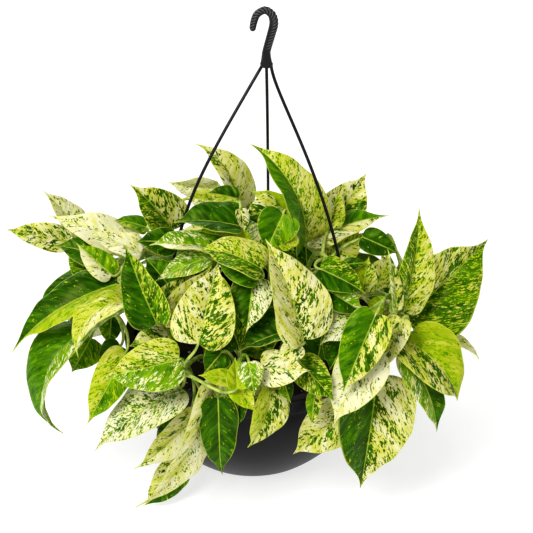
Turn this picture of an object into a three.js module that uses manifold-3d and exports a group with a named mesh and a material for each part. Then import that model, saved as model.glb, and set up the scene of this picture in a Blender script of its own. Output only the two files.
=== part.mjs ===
// A marble queen pothos in its black plastic hanging pot, stood on a level surface.
// Millimetres, +Z up. The origin is the middle of the pot's underside and the front looks along -Y.
import * as THREE from 'three';
import { mergeVertices } from 'three/addons/utils/BufferGeometryUtils.js';
import Module from 'manifold-3d';

const wasm = await Module();
wasm.setup();
const rad = THREE.MathUtils.degToRad;
const vec = (x, y, z) => new THREE.Vector3(x, y, z);

// Pot: a spun bowl with an upright band and a lip turned in
const POT_HEIGHT = 118;
const POT_FOOT_RADIUS = 69;
const POT_FOOT_EDGE = 1.5;
const POT_RIM_RADIUS = 119;
const POT_WALL = 2.2;
const POT_FULLNESS = 2.4;
const LIP_WIDTH = 9;
const BAND_HEIGHT = 15;
const BAND_STEP = 2.6;
const BAND_FLARE = 1;
const POT_SIDES = 26;
const HOLE_SIDES = 8;
const BOWL_HEIGHTS = [5, 16, 34, 62, POT_HEIGHT - BAND_HEIGHT];
const DRAIN_HOLES = 5;
const DRAIN_RADIUS = 4.5;
const DRAIN_RING = 40;

// Soil: fills the bowl to just below its band
const SOIL_TOP = 100;
const SOIL_RELIEF = 2.2;
const SOIL_RINGS = [80, 40];
const SOIL_SWELLS = { x: 13, y: 17, start: 1 };
const GAP = 0.3;

// Hanger: a moulded hook on a flat hub, and three plastic strands that clip under the lip
const HUB_X = 13;
const HUB_BOTTOM = 384;
const HUB_HEIGHT = 12;
const HUB_WIDTH = 12.2;
const HUB_DEPTH = 6.4;
const HUB_EDGE = 2.5;
const HOOK_RADIUS = 3.6;
const HOOK_SIDES = 8;
const HOOK_TIP_TAPER = 0.8;
const HOOK_ROUTE = [[0, -6], [-0.3, 0], [3.6, 15.3], [5.9, 24.5], [5.9, 30], [3.9, 35], [-1.3, 38.2]];
const HOOK_TIP = [[-7.6, 34.8], [-10.4, 28.2], [-12, 19.6]];
const STRAND_RADIUS = 1.4;
const STRAND_SIDES = 5;
const STRAND_STEPS = 8;
const STRAND_SPACING = 4;
const STRAND_SINK = 3;
const CLIP_RING = 112.6;
const CLIP_HOLE = STRAND_RADIUS + GAP + 0.15;
const CLIP_RISE = 6;
const CLIP_HEAD = { radius: 2.4, height: 4 };
const CLIPS = {
  left: { place: -1, azimuth: 218, bow: { out: 93, down: 111, back: 41, up: 155 } },
  back: { place: 0, azimuth: 82.5, bow: { out: 10, down: 65, back: 0, up: 66 } },
  right: { place: 1, azimuth: 321, bow: { out: 5, down: 33, back: 0, up: 152 } },
};

// Leaves: thin blades on petioles that grow from short stems rooted in the soil
const BLADE = 0.8;
const CLEAR = 0.35;
const SLIVER = 0.03;
const PETIOLE_RADII = [1.7, 1.45, 1.3, 1.15];
const PETIOLE_STATIONS = [0, 0.38, 0.72, 1];
const STEM_RADIUS = 2.8;
const STEM_TIP_RADIUS = 1.6;
const STEM_SIDES = 5;
const STEM_STEPS = 6;
const STEM_SINK = 26;
const STEM_HOLE = STEM_RADIUS + GAP + 0.1;
const LEAF_SEED = 1200;
const LOWEST = 2.5;

// Blade: its outline, its hollow and ripple, and how much leaves differ in ripple and twist
const RIB_EASE = 1.6;
const LOBE = 0.55;
const BELLY = 0.3;
const TIP_TAPER = 0.35;
const WIDEST = 1.035;
const STATION_EASE = 1.25;
const CAMBER = 0.045;
const WAVES = 2.1;
const WAVE = { least: 0.015, spread: 0.03 };
const TWIST = 8;
const LEAST_BEND = 2;
const NORMAL_STEP = 0.02;
const NORMAL_EDGE = 0.06;

// Stem: how it climbs from the soil before it leans to its tip
const CLIMB = { near: 0.12, nearUp: 0.75, far: 0.55, farUp: 1.02, least: 30 };

// Petioles: where they can leave a stem, how they can rise from it and come to a leaf's notch,
// as mm behind it, below it and aside
const ATTACH = [1, 0.92, 0.84, 0.76, 0.68, 0.6, 0.52, 0.44, 0.36];
const LIFTS = [0.25, 0.5, 0.05, 0.8];
const ARRIVALS = [
  [14, 7, 0], [10, 12, 0], [14, 7, 10], [14, 7, -10], [20, 3, 0], [8, 16, 8], [8, 16, -8], [4, 22, 0],
];
const FULL_ARRIVAL = 40;
const LEAVE = 0.35;
const NEAREST_STARTS = 50;
const STEEP = 0.7;

// The side that the leaves are laid out from: an eye in front of the pot, looking down on it.
// A leaf's place is u mm right of the pot's axis and w mm above its front foot edge, in the
// plane that stands square to that look through the aim, and some depth towards the eye.
const EYE_TILT = rad(31);
const EYE_DISTANCE = 1400;
const AIM = vec(13, 0, 187);
const AIM_RISE = 190.5;
const RIGHT = vec(1, 0, 0);
const UP = vec(0, Math.sin(EYE_TILT), Math.cos(EYE_TILT));
const TOWARDS = vec(0, -Math.cos(EYE_TILT), Math.sin(EYE_TILT));
const EYE = AIM.clone().addScaledVector(TOWARDS, EYE_DISTANCE);

// The dome that the outermost leaves follow
const DOME_MIDDLE = vec(0, 0, 135);
const DOME = vec(215, 150, 145);

// Depths that a leaf is tried at, from the one stated for it
const SHIFTS = [0, -4, 4, -8, 8, -13, 12, -18, 16, -24, -30, -37, -45, -54, -64];

// Each leaf: foot u, w, tip u, w, mm behind the dome, how much nearer the tip is than the foot,
// blade width, roll about the midrib, fold, bend and the strips along it
const LEAVES = [
  // front and middle
  [-49, 121, -31, 196, 0, 0, 54, 0, 12, 25, 5],
  [46, 125, 11, 216, 0, 0, 62, 36, 20, 30, 5],
  [1, 178, -5, 129, 10, 5, 36, 0, 10, 20, 4],
  [34, 132, -13, 113, 10, 5, 50, 50, 25, 20, 5],
  [9, 99, 53, 95, 0, 12, 32, 0, 8, 15, 4],
  [43, 104, 76, 68, 10, 8, 30, 0, 12, 15, 4],
  [17, 77, -3, 25, 10, -10, 40, -40, 18, 40, 5],
  [-20, 89, -49, 92, 0, 5, 16, 0, 20, 10, 4],
  [-14, 80, -16, 108, 0, 0, 22, 15, 25, 10, 4],
  [-17, 88, 4, 57, -2, 0, 22, 10, 25, 10, 4],
  [-3, 103, 2, 73, 8, 0, 22, 0, 12, 10, 4],
  [10, 92, 5, 54, 12, 0, 26, -20, 12, 20, 4],
  [-28, 112, -44, 93, 8, 6, 24, 0, 10, 20, 4],
  [-24, 96, -30, 118, 12, 0, 14, 50, 15, 10, 4],
  [-12, 79, -13, 43, 14, -14, 20, 20, 15, 10, 4],
  [-31, 70, -29, -1, 8, -36, 35, 0, 12, 20, 5],
  [28, 89, 35, 66, 14, 0, 14, 0, 15, 10, 4],
  [57, 76, 54, 46, 16, -10, 14, 0, 15, 10, 4],
  [44, 119, 22, 108, 3, 0, 20, 0, 12, 15, 4],
  // front left
  [-67, 106, -136, 89, 0, 0, 46, -5, 15, 20, 5],
  [-78, 122, -112, 118, 14, 0, 34, 30, 10, 40, 5],
  [-115, 112, -150, 46, 8, -20, 34, 5, 15, 20, 4],
  [-66, 80, -145, 25, 12, -14, 49, 25, 10, 35, 6],
  [-48, 58, -106, 4, 12, -22, 35, -30, 15, 14, 4],
  [-35, 84, -103, -31, 0, -28, 46, -50, 15, 48, 6],
  [-68, 10, -98, -28, 1, 0, 34, -25, 12, 40, 5],
  [-62, 52, -90, 30, 30, -10, 24, 0, 12, 10, 4],
  // left
  [-113, 157, -159, 107, -4, 10, 38, 50, 10, 130, 6],
  [-124, 174, -220, 114, 0, 0, 48, 45, 15, 45, 6],
  [-128, 180, -201, 141, 10, 0, 50, 40, 12, 50, 6],
  [-154, 130, -174, 38, 5, -20, 54, 58, 21, 118, 6],
  [-147, 125, -165, 94, 16, 0, 34, -10, 10, 40, 5],
  [-120, 118, -140, 98, 18, 0, 26, 0, 12, 20, 4],
  [-128, 145, -130, 118, 42, 0, 22, 0, 12, 20, 4],
  [-168, 213, -225, 224, 0, 5, 28, 10, 20, 36, 5],
  [-156, 222, -191, 260, 12, 20, 29, 30, 18, 20, 4],
  [-108, 209, -186, 236, 6, 0, 37, 30, 8, 25, 5],
  [-102, 203, -152, 221, 0, 0, 30, 45, 8, 20, 4],
  [-130, 198, -181, 210, 6, 0, 32, 30, 8, 20, 4],
  [-144, 181, -169, 208, 14, 0, 30, 20, 10, 20, 4],
  [-128, 183, -161, 212, 6, 0, 26, 10, 15, 15, 4],
  [-97, 226, -126, 233, 32, 10, 22, 45, 10, 20, 4],
  [-87, 140, -115, 211, 0, 5, 42, -20, 25, 20, 5],
  [-82, 146, -52, 184, 20, 0, 34, 0, 15, 20, 4],
  [-80, 140, -36, 192, 8, 0, 30, 20, 15, 20, 4],
  [-40, 198, -89, 177, 6, 0, 26, 40, 12, 20, 4],
  // top left
  [-72, 224, -111, 266, 14, 30, 46, 20, 20, 30, 5],
  [-33, 262, -77, 267, 45, 0, 30, -35, 20, 20, 4],
  [-14, 240, -51, 304, 30, 20, 44, 43, 14, 95, 6],
  [-12, 227, -72, 231, 0, 0, 46, 50, 22, 25, 5],
  [-14, 252, -42, 258, 28, 0, 22, 20, 12, 10, 4],
  [-38, 250, -60, 254, 40, 0, 20, 0, 12, 10, 4],
  [-11, 242, -7, 222, 3, 0, 14, -30, 15, 10, 4],
  [-40, 206, -94, 210, 4, 0, 34, 55, 20, 30, 5],
  [8, 188, -50, 207, 3, 0, 44, 45, 15, 45, 5],
  [-4, 212, -56, 223, 5, 0, 20, 30, 15, 20, 4],
  [6, 184, -36, 197, 0, 0, 34, 20, 10, 20, 4],
  // top right
  [47, 213, -3, 303, 4, 25, 52, 38, 20, 96, 6],
  [28, 238, 12, 203, 10, 0, 36, 0, 12, 15, 4],
  [38, 236, -3, 260, 26, 0, 26, 30, 12, 15, 4],
  [22, 244, -8, 234, 22, 0, 30, 20, 10, 15, 4],
  [36, 208, 25, 229, 8, 0, 18, 0, 12, 10, 4],
  [70, 222, 105, 276, 14, 10, 48, 0, 18, 20, 5],
  [70, 228, 79, 262, 24, 0, 24, 0, 12, 10, 4],
  [52, 214, 124, 238, 6, 0, 38, -48, 10, 20, 5],
  [66, 196, 104, 222, 44, 0, 34, 0, 10, 15, 4],
  [101, 217, 134, 202, 10, 0, 24, -10, 12, 15, 4],
  [62, 188, 104, 166, 2, 0, 32, -25, 10, 20, 4],
  [70, 168, 102, 148, 6, 0, 28, -10, 15, 15, 4],
  [101, 148, 61, 120, 6, 0, 30, 20, 12, 15, 4],
  [84, 192, 105, 194, 22, 0, 12, -20, 12, 10, 4],
  [100, 168, 106, 200, 24, 0, 24, 0, 12, 10, 4],
  [111, 163, 124, 204, 16, 0, 34, 0, 12, 15, 4],
  [131, 152, 124, 206, 10, 0, 18, 50, 15, 10, 4],
  [134, 152, 133, 196, 14, 0, 20, -40, 15, 10, 4],
  // right
  [138, 151, 153, 245, 8, 10, 40, 34, 20, 20, 5],
  [141, 146, 214, 217, 0, 0, 84, 22, 22, 20, 5],
  [176, 124, 207, 106, 14, 0, 18, -60, 10, 60, 4],
  [142, 122, 187, 67, 14, -10, 62, -35, 15, 80, 6],
  [139, 112, 168, 39, 0, -20, 38, -35, 15, 52, 6],
  [136, 142, 115, 92, 2, 0, 26, 20, 12, 15, 4],
  [128, 134, 108, 115, 10, 0, 28, 0, 12, 10, 4],
  [128, 156, 112, 138, 10, 0, 20, 20, 12, 10, 4],
  [128, 160, 104, 162, 18, 0, 22, 30, 12, 10, 4],
  [119, 153, 103, 158, 12, 0, 20, 30, 12, 20, 4],
  // front right
  [112, 146, 82, 74, -4, -10, 40, 5, 12, 25, 5],
  [110, 112, 72, 47, 6, -10, 46, 10, 10, 20, 5],
  [113, 89, 97, -12, 6, -35, 75, -18, 20, 20, 5],
  [86, 60, 36, 20, 14, -14, 46, -15, 12, 10, 5],
  [84, 120, 70, 96, 26, 0, 34, 0, 12, 10, 4],
  // in the gaps
  [-72, 168, -98, 200, 30, 0, 34, 10, 12, 20, 4],
  [50, 190, 48, 220, 34, 0, 32, 0, 12, 20, 4],
  [-12, 118, -26, 156, 30, 0, 36, 0, 12, 20, 4],
  [60, 108, 66, 142, 30, 0, 40, 0, 12, 20, 4],
  [-70, 212, -106, 214, 20, 0, 26, 10, 12, 20, 4],
  [96, 132, 74, 158, 30, 0, 38, 0, 12, 20, 4],
];

// Vines: soil root x, y, then the tip's u, w and how far it lies inside the dome
const VINES = {
  front_left: [-34, -52, -66, 92, 24],
  front_middle: [-6, -62, -14, 96, 26],
  front_centre: [24, -58, 36, 112, 24],
  front_right: [52, -44, 104, 98, 26],
  right_low: [72, -22, 142, 128, 20],
  right_high: [66, 8, 128, 160, 30],
  top_right: [42, 4, 70, 196, 30],
  top_middle: [14, -10, 26, 214, 34],
  top_left: [-14, 2, -22, 226, 32],
  middle: [-10, -34, -6, 168, 34],
  middle_left: [-42, -24, -84, 146, 26],
  left: [-70, -22, -124, 146, 24],
  left_high: [-54, 6, -112, 198, 28],
  far_left: [-76, 6, -156, 190, 26],
};

// Back vines: soil root x, y, then the tip's x, y, z
const BACK_VINES = {
  back_left: [-52, 40, -108, 62, 196],
  back_middle: [-8, 48, -24, 92, 216],
  back_right: [30, 44, 62, 84, 206],
  right_back: [58, 32, 124, 46, 192],
};

// Crown, back and inner leaves: spread over a dome by turns of the golden angle
const CROWN = {
  count: 28,
  seed: 141,
  centre: vec(0, 6, 118),
  dome: vec(132, 118, 76),
  from: 14,
  to: 76,
  middle: 90,
  sweep: 108,
  rise: -0.5,
};
const BACK = {
  count: 21,
  seed: 41,
  centre: vec(0, 0, 122),
  dome: vec(176, 138, 92),
  from: -52,
  to: 12,
  middle: 90,
  sweep: 96,
  rise: -1,
};
const INNER = {
  count: 8,
  seed: 77,
  centre: DOME_MIDDLE,
  dome: vec(156, 110, 106),
  from: 12,
  to: 60,
  middle: 270,
  sweep: 80,
  rise: 0.9,
};
const TURN = { start: 0.31, each: 0.618034 };

// Places that such a leaf is tried at, as a share of the dome inwards and mm upwards
const NUDGES = [
  [0, 0], [-0.06, 0], [0, -8], [0.05, -6], [-0.1, -8], [-0.06, 8], [0.06, -16], [-0.16, 4], [0, -24],
  [-0.2, -12], [-0.3, 4],
];
const SWING = 40;
const HEADING = { fall: 0.88, least: 0.1, spread: 0.35 };
const LENGTH = { least: 60, spread: 34 };
const RULED = { width: 0.58, roll: 18, fold: 14, leastBend: 30, moreBend: 50, strips: 4 };

// The outline that the leaves show from the front, and the places of a blade that are tried in it
const OUTLINE = { u: 5, w: 105, across: 182, above: 132, below: 70 };
const OUTLINE_TRIES = [[0.3, -1], [0.3, 1], [0.6, -1], [0.6, 1], [1, 0]];

// Colours
const POT_COLOUR = 0x26262a;
const SOIL_COLOUR = 0x3a2a1c;
const HANGER_COLOUR = 0x1d1d20;
const LEAF_COLOUR = 0x7fae35;

const view = (u, w) => AIM.clone()
  .addScaledVector(RIGHT, u - AIM.x)
  .addScaledVector(UP, w - AIM_RISE);

// Depth at which the look through (u, w) meets the dome, or comes nearest to it
function domeDepth(u, w) {
  const at = view(u, w);
  const look = at.clone().sub(EYE);
  const span = look.length();
  look.divideScalar(span);
  const from = EYE.clone().sub(DOME_MIDDLE).divide(DOME);
  const along = look.clone().divide(DOME);
  const a = along.lengthSq();
  const b = from.dot(along);
  const c = from.lengthSq() - 1;
  return span - (-b - Math.sqrt(Math.max(b * b - a * c, 0))) / a;
}

function seen(u, w, depth) {
  const at = view(u, w);
  return at.addScaledVector(EYE.clone().sub(at).normalize(), depth);
}

// Where the eye sees a point in the plane of u and w
function shown(point) {
  const from = point.clone().sub(EYE);
  from.multiplyScalar(-EYE_DISTANCE / from.dot(TOWARDS));
  return [AIM.x + from.dot(RIGHT), AIM_RISE + from.dot(UP)];
}

// A repeatable stream of numbers from 0 to 1
function draws(seed) {
  let state = seed >>> 0;
  return () => {
    state = (state + 0x6d2b79f5) >>> 0;
    let mixed = state;
    mixed = Math.imul(mixed ^ (mixed >>> 15), mixed | 1);
    mixed ^= mixed + Math.imul(mixed ^ (mixed >>> 7), mixed | 61);
    return ((mixed ^ (mixed >>> 14)) >>> 0) / 4294967296;
  };
}

// Solids: merged three.js geometry in, and back to a geometry at the end
function solid(geometry) {
  const plain = geometry.clone();
  plain.deleteAttribute('normal');
  plain.deleteAttribute('uv');
  const merged = mergeVertices(plain, 1e-4);
  return new wasm.Manifold(new wasm.Mesh({
    numProp: 3,
    vertProperties: new Float32Array(merged.attributes.position.array),
    triVerts: new Uint32Array(merged.index.array),
  }));
}

function facets(points, triangles) {
  const geometry = new THREE.BufferGeometry();
  const places = points.flatMap((point) => point.toArray());
  geometry.setAttribute('position', new THREE.Float32BufferAttribute(places, 3));
  geometry.setIndex(triangles.flat());
  return geometry;
}

function geometryOf(manifold) {
  const mesh = manifold.getMesh();
  const geometry = new THREE.BufferGeometry();
  geometry.setAttribute('position', new THREE.Float32BufferAttribute(mesh.vertProperties, 3));
  geometry.setIndex(Array.from(mesh.triVerts));
  geometry.computeVertexNormals();
  return geometry;
}

const fuse = (solids) => wasm.Manifold.union(solids).simplify(SLIVER);

// Rings round a line of points; across is a direction that the line never follows
function ringsAlong(line, radii, sides, across) {
  return line.map((point, k) => {
    const before = line[Math.max(k - 1, 0)];
    const after = line[Math.min(k + 1, line.length - 1)];
    const along = after.clone().sub(before).normalize();
    const one = across.clone().cross(along).normalize();
    const two = along.clone().cross(one);
    return Array.from({ length: sides }, (_, i) => {
      const angle = (2 * Math.PI * i) / sides;
      return point.clone()
        .addScaledVector(one, radii[k] * Math.cos(angle))
        .addScaledVector(two, radii[k] * Math.sin(angle));
    });
  });
}

// A closed tube: rings of points joined in order, with both ends filled
function closedTube(rings) {
  const sides = rings[0].length;
  const triangles = [];
  for (let k = 0; k < rings.length - 1; k += 1) {
    for (let i = 0; i < sides; i += 1) {
      const a = k * sides + i;
      const b = k * sides + ((i + 1) % sides);
      triangles.push([a, b, b + sides], [a, b + sides, a + sides]);
    }
  }
  const last = (rings.length - 1) * sides;
  for (let i = 1; i < sides - 1; i += 1) {
    triangles.push([0, i + 1, i], [last, last + i, last + i + 1]);
  }
  return facets(rings.flat(), triangles);
}

const tube = (line, radii, sides, across) => (
  solid(closedTube(ringsAlong(line, radii, sides, across))));

// An upright round hole, centred on a point
const holeAt = (radius, length, { x, y, z }) => (
  solid(new THREE.CylinderGeometry(radius, radius, length, HOLE_SIDES)
    .rotateX(Math.PI / 2)
    .translate(x, y, z)));

function bezier([a, b, c, d], t) {
  const s = 1 - t;
  return a.clone().multiplyScalar(s ** 3)
    .addScaledVector(b, 3 * s * s * t)
    .addScaledVector(c, 3 * s * t * t)
    .addScaledVector(d, t ** 3);
}

// Boxes keep the tests for crossings short
const boxOf = (manifold) => {
  const { min, max } = manifold.boundingBox();
  return new THREE.Box3(vec(...min), vec(...max));
};
const obstacle = (manifold, owner) => ({ manifold, owner, box: boxOf(manifold) });

function crosses(manifold, obstacles) {
  const box = boxOf(manifold);
  return obstacles.some((other) => box.intersectsBox(other.box)
    && !manifold.intersect(other.manifold).isEmpty());
}

// Blade outline in midrib lengths and half widths, at a share s of the way from notch to tip.
// The lines across the blade leave the rib behind the point where they meet the margin.
const ribAlong = (s) => s ** RIB_EASE;
const marginAlong = (s) => s - LOBE * Math.sin(Math.PI * s) * (1 - s) ** 2;
const marginAcross = (s) => {
  const belly = Math.sin(Math.PI * s) * (1 + BELLY * Math.cos(Math.PI * s));
  return (belly * (1 - TIP_TAPER * s ** 6)) / WIDEST;
};
const station = (share) => 1 - (1 - share) ** STATION_EASE;

// The sum of two ways, each taken so much
const mixed = (one, share, other, rest) => one.clone().multiplyScalar(share).addScaledVector(other, rest);

class Leaf {
  constructor(foot, tip, facing, { width, roll, fold, bend, strips }, random) {
    this.width = width;
    this.strips = strips;
    this.fold = rad(fold);
    this.bend = rad(Math.max(bend, LEAST_BEND));
    this.phase = 2 * Math.PI * random();
    this.wave = width * (WAVE.least + WAVE.spread * random());
    this.twist = rad(TWIST * (2 * random() - 1));
    this.foot = foot;
    this.chord = tip.clone().sub(foot);
    this.span = this.chord.length();
    this.chord.normalize();
    const faceOn = facing.clone().addScaledVector(this.chord, -facing.dot(this.chord)).normalize();
    const side = this.chord.clone().cross(faceOn);
    const turn = rad(roll);
    this.normal = mixed(faceOn, Math.cos(turn), side, Math.sin(turn));
    this.side = mixed(side, Math.cos(turn), faceOn, -Math.sin(turn));
    const half = this.bend / 2;
    this.radius = this.span / 2 / Math.sin(half);
    this.length = this.radius * this.bend;
    this.start = mixed(this.chord, Math.cos(half), this.normal, Math.sin(half));
    this.under = mixed(this.chord, Math.sin(half), this.normal, -Math.cos(half));
  }

  // Middle of the blade at share s and side e, from -1 at the left margin to 1 at the right one
  at(s, e) {
    const reach = Math.abs(e);
    const along = (ribAlong(s) + reach * (marginAlong(s) - ribAlong(s))) * this.length;
    const half = (marginAcross(s) * this.width) / 2;
    const out = reach * half;
    const ripple = Math.sin(2 * Math.PI * WAVES * s + this.phase + Math.sign(e));
    const lift = out * Math.sin(this.fold)
      + CAMBER * this.width * marginAcross(s) * (1 - (2 * reach - 1) ** 2)
      + this.wave * reach ** 2 * marginAcross(s) * ripple;
    const spread = Math.sign(e) * out * Math.cos(this.fold);
    const turn = (this.twist * along) / this.length;
    const y = spread * Math.cos(turn) - lift * Math.sin(turn);
    const z = spread * Math.sin(turn) + lift * Math.cos(turn);
    const arc = along / this.radius - this.bend / 2;
    const x = this.radius * (Math.sin(arc) + Math.sin(this.bend / 2)) + z * Math.sin(arc);
    const rise = this.radius * (Math.cos(arc) - Math.cos(this.bend / 2)) + z * Math.cos(arc);
    return this.foot.clone()
      .addScaledVector(this.chord, x)
      .addScaledVector(this.side, y)
      .addScaledVector(this.normal, rise);
  }

  normalAt(s, e) {
    const step = NORMAL_STEP;
    const here = Math.min(Math.max(s, NORMAL_EDGE), 1 - NORMAL_EDGE);
    const alongS = this.at(here + step, e).sub(this.at(here - step, e));
    const alongE = this.at(here, Math.min(e + step, 1)).sub(this.at(here, Math.max(e - step, -1)));
    return alongS.cross(alongE).normalize();
  }

  // Closed blade, the same triangles on both faces and a strip round the margin.
  // With a petiole's line, its tube opens into the notch, so that the two are one skin.
  skin(thickness, petiole) {
    const across = [-1, 0, 1];
    const rows = [[[0, 0]]];
    for (let k = 1; k < this.strips; k += 1) {
      rows.push(across.map((e) => [station(k / this.strips), e]));
    }
    rows.push([[1, 0]]);
    const starts = rows.map((_, k) => rows.slice(0, k).flat().length);
    const face = this.face(starts);
    const flat = rows.flat();
    const count = flat.length;
    const points = [-1, 1].flatMap((way) => flat.map(([s, e]) => (
      this.at(s, e).addScaledVector(this.normalAt(s, e), (way * thickness) / 2))));
    const under = face.map(([i, j, k]) => [i + count, k + count, j + count]);
    const rightSide = starts.slice(1, -1).reverse().map((start) => start + across.length - 1);
    const margin = [...starts.slice(1), ...rightSide];
    const wall = margin.slice(1).flatMap((j, k) => {
      const i = margin[k];
      return [[i, j, j + count], [i, j + count, i + count]];
    });
    const ends = [margin[0], margin[margin.length - 1]];
    wall.push(...(petiole ? this.open(petiole, points, ends, count) : this.shut(ends, count)));
    return facets(points, [...face, ...under, ...wall]);
  }

  // The upper face's triangles, strip by strip from the notch to the tip
  face(starts) {
    const triangles = [];
    for (let k = 0; k < this.strips; k += 1) {
      const [near, far] = [starts[k], starts[k + 1]];
      if (k === 0) {
        triangles.push([0, far + 1, far], [0, far + 2, far + 1]);
      } else if (k === this.strips - 1) {
        triangles.push([near, near + 1, far], [near + 1, near + 2, far]);
      } else {
        triangles.push([near, near + 1, far + 1], [near, far + 1, far]);
        triangles.push([near + 1, near + 2, far + 1], [near + 2, far + 2, far + 1]);
      }
    }
    return triangles;
  }

  // The margin's strip carried on round the notch
  shut([first, last], count) {
    return [
      [0, first, first + count],
      [0, first + count, count],
      [last, 0, count],
      [last, count, last + count],
    ];
  }

  // The margin's strip led into the petiole's tube, whose points are added
  open(petiole, points, [first, last], count) {
    const [left, right] = [points.length, points.length + 1];
    const frames = this.petioleFrames(petiole);
    const { side: aside } = frames[frames.length - 1];
    const endRadius = PETIOLE_RADII[PETIOLE_RADII.length - 1];
    points.push(this.foot.clone().addScaledVector(aside, -endRadius));
    points.push(this.foot.clone().addScaledVector(aside, endRadius));
    const wall = [
      [0, first, first + count],
      [0, first + count, left],
      [left, first + count, count],
      [last, 0, right],
      [last, right, count],
      [last, count, last + count],
    ];
    const rings = frames.slice(0, -1).map(({ point, normal, side }, k) => {
      const start = points.length;
      for (const [way, reach] of [[normal, 1], [side, 1], [normal, -1], [side, -1]]) {
        points.push(point.clone().addScaledVector(way, reach * PETIOLE_RADII[k]));
      }
      return [start, start + 1, start + 2, start + 3];
    });
    rings.push([0, right, count, left]);
    const root = rings[0];
    wall.push([root[0], root[2], root[1]], [root[0], root[3], root[2]]);
    for (let k = 0; k < rings.length - 1; k += 1) {
      const [near, far] = [rings[k], rings[k + 1]];
      for (let i = 0; i < near.length; i += 1) {
        const j = (i + 1) % near.length;
        wall.push([near[i], near[j], far[j]], [near[i], far[j], far[i]]);
      }
    }
    return wall;
  }

  // The way along, the upper side and the right side at each point of the petiole's line
  petioleFrames(line) {
    let normal = this.under.clone().negate();
    const last = line.length - 1;
    return line.map((_, k) => last - k).map((k) => {
      const along = line[Math.min(k + 1, last)].clone().sub(line[Math.max(k - 1, 0)]).normalize();
      normal = normal.clone().addScaledVector(along, -normal.dot(along)).normalize();
      return { point: line[k], normal, side: along.clone().cross(normal) };
    }).reverse();
  }
}

// Pot
const bandFoot = POT_HEIGHT - BAND_HEIGHT;
const bandRadius = POT_RIM_RADIUS - BAND_FLARE;
const bowlTop = bandRadius - BAND_STEP;
const bowlRadius = (z) => POT_FOOT_RADIUS
  + (bowlTop - POT_FOOT_RADIUS) * (1 - (1 - z / bandFoot) ** POT_FULLNESS);

const spun = (profile) => {
  const outline = profile.map(([r, z]) => new THREE.Vector2(r, z));
  return new THREE.LatheGeometry(outline, POT_SIDES).rotateX(Math.PI / 2);
};

const clipPoint = (azimuth) => {
  const angle = rad(azimuth);
  return vec(CLIP_RING * Math.cos(angle), CLIP_RING * Math.sin(angle), POT_HEIGHT);
};

function makePot() {
  const outer = [
    [0, 0],
    [POT_FOOT_RADIUS - POT_FOOT_EDGE, 0],
    [POT_FOOT_RADIUS, POT_FOOT_EDGE],
    ...BOWL_HEIGHTS.map((z) => [bowlRadius(z), z]),
    [bandRadius, bandFoot],
    [POT_RIM_RADIUS, POT_HEIGHT],
  ];
  const inner = [
    [POT_RIM_RADIUS - LIP_WIDTH, POT_HEIGHT],
    [POT_RIM_RADIUS - LIP_WIDTH, POT_HEIGHT - POT_WALL],
    [POT_RIM_RADIUS - POT_WALL, POT_HEIGHT - POT_WALL],
    [bandRadius - POT_WALL, bandFoot + POT_WALL],
    [bowlTop - POT_WALL, bandFoot + POT_WALL],
    ...BOWL_HEIGHTS.slice(1).reverse().map((z) => [bowlRadius(z) - POT_WALL, z]),
    [bowlRadius(BOWL_HEIGHTS[0]) - POT_WALL, POT_WALL],
    [0, POT_WALL],
  ];
  const cut = 4 * POT_WALL;
  const holes = Object.values(CLIPS).map(({ azimuth }) => holeAt(CLIP_HOLE, cut, clipPoint(azimuth)));
  for (let k = 0; k < DRAIN_HOLES; k += 1) {
    const angle = (2 * Math.PI * k) / DRAIN_HOLES;
    const middle = vec(DRAIN_RING * Math.cos(angle), DRAIN_RING * Math.sin(angle), 0);
    holes.push(holeAt(DRAIN_RADIUS, cut, middle));
  }
  return solid(spun([...outer, ...inner])).subtract(fuse(holes)).simplify(SLIVER);
}

// Soil
function makeSoil(holes) {
  const wall = BOWL_HEIGHTS.filter((z) => z < SOIL_TOP);
  const low = wall[wall.length - 1];
  const share = (SOIL_TOP - low) / (bandFoot - low);
  const inset = POT_WALL + GAP;
  const topRadius = THREE.MathUtils.lerp(bowlRadius(low), bowlRadius(bandFoot), share) - inset;
  const profile = [
    [0, inset],
    [bowlRadius(BOWL_HEIGHTS[0]) - inset, inset],
    ...wall.slice(1).map((z) => [bowlRadius(z) - inset, z]),
    [topRadius, SOIL_TOP],
    ...SOIL_RINGS.map((r) => [r, SOIL_TOP]),
    [0, SOIL_TOP],
  ];
  const geometry = spun(profile);
  const places = geometry.attributes.position;
  for (let i = 0; i < places.count; i += 1) {
    const [x, y, z] = [places.getX(i), places.getY(i), places.getZ(i)];
    const inside = Math.hypot(x, y) < SOIL_RINGS[0] + 1;
    if (z > SOIL_TOP - 0.5 && inside) {
      const swell = Math.sin(x / SOIL_SWELLS.x + SOIL_SWELLS.start) * Math.cos(y / SOIL_SWELLS.y);
      places.setZ(i, z + SOIL_RELIEF * swell);
    }
  }
  return solid(geometry).subtract(fuse(holes)).simplify(SLIVER);
}

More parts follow.
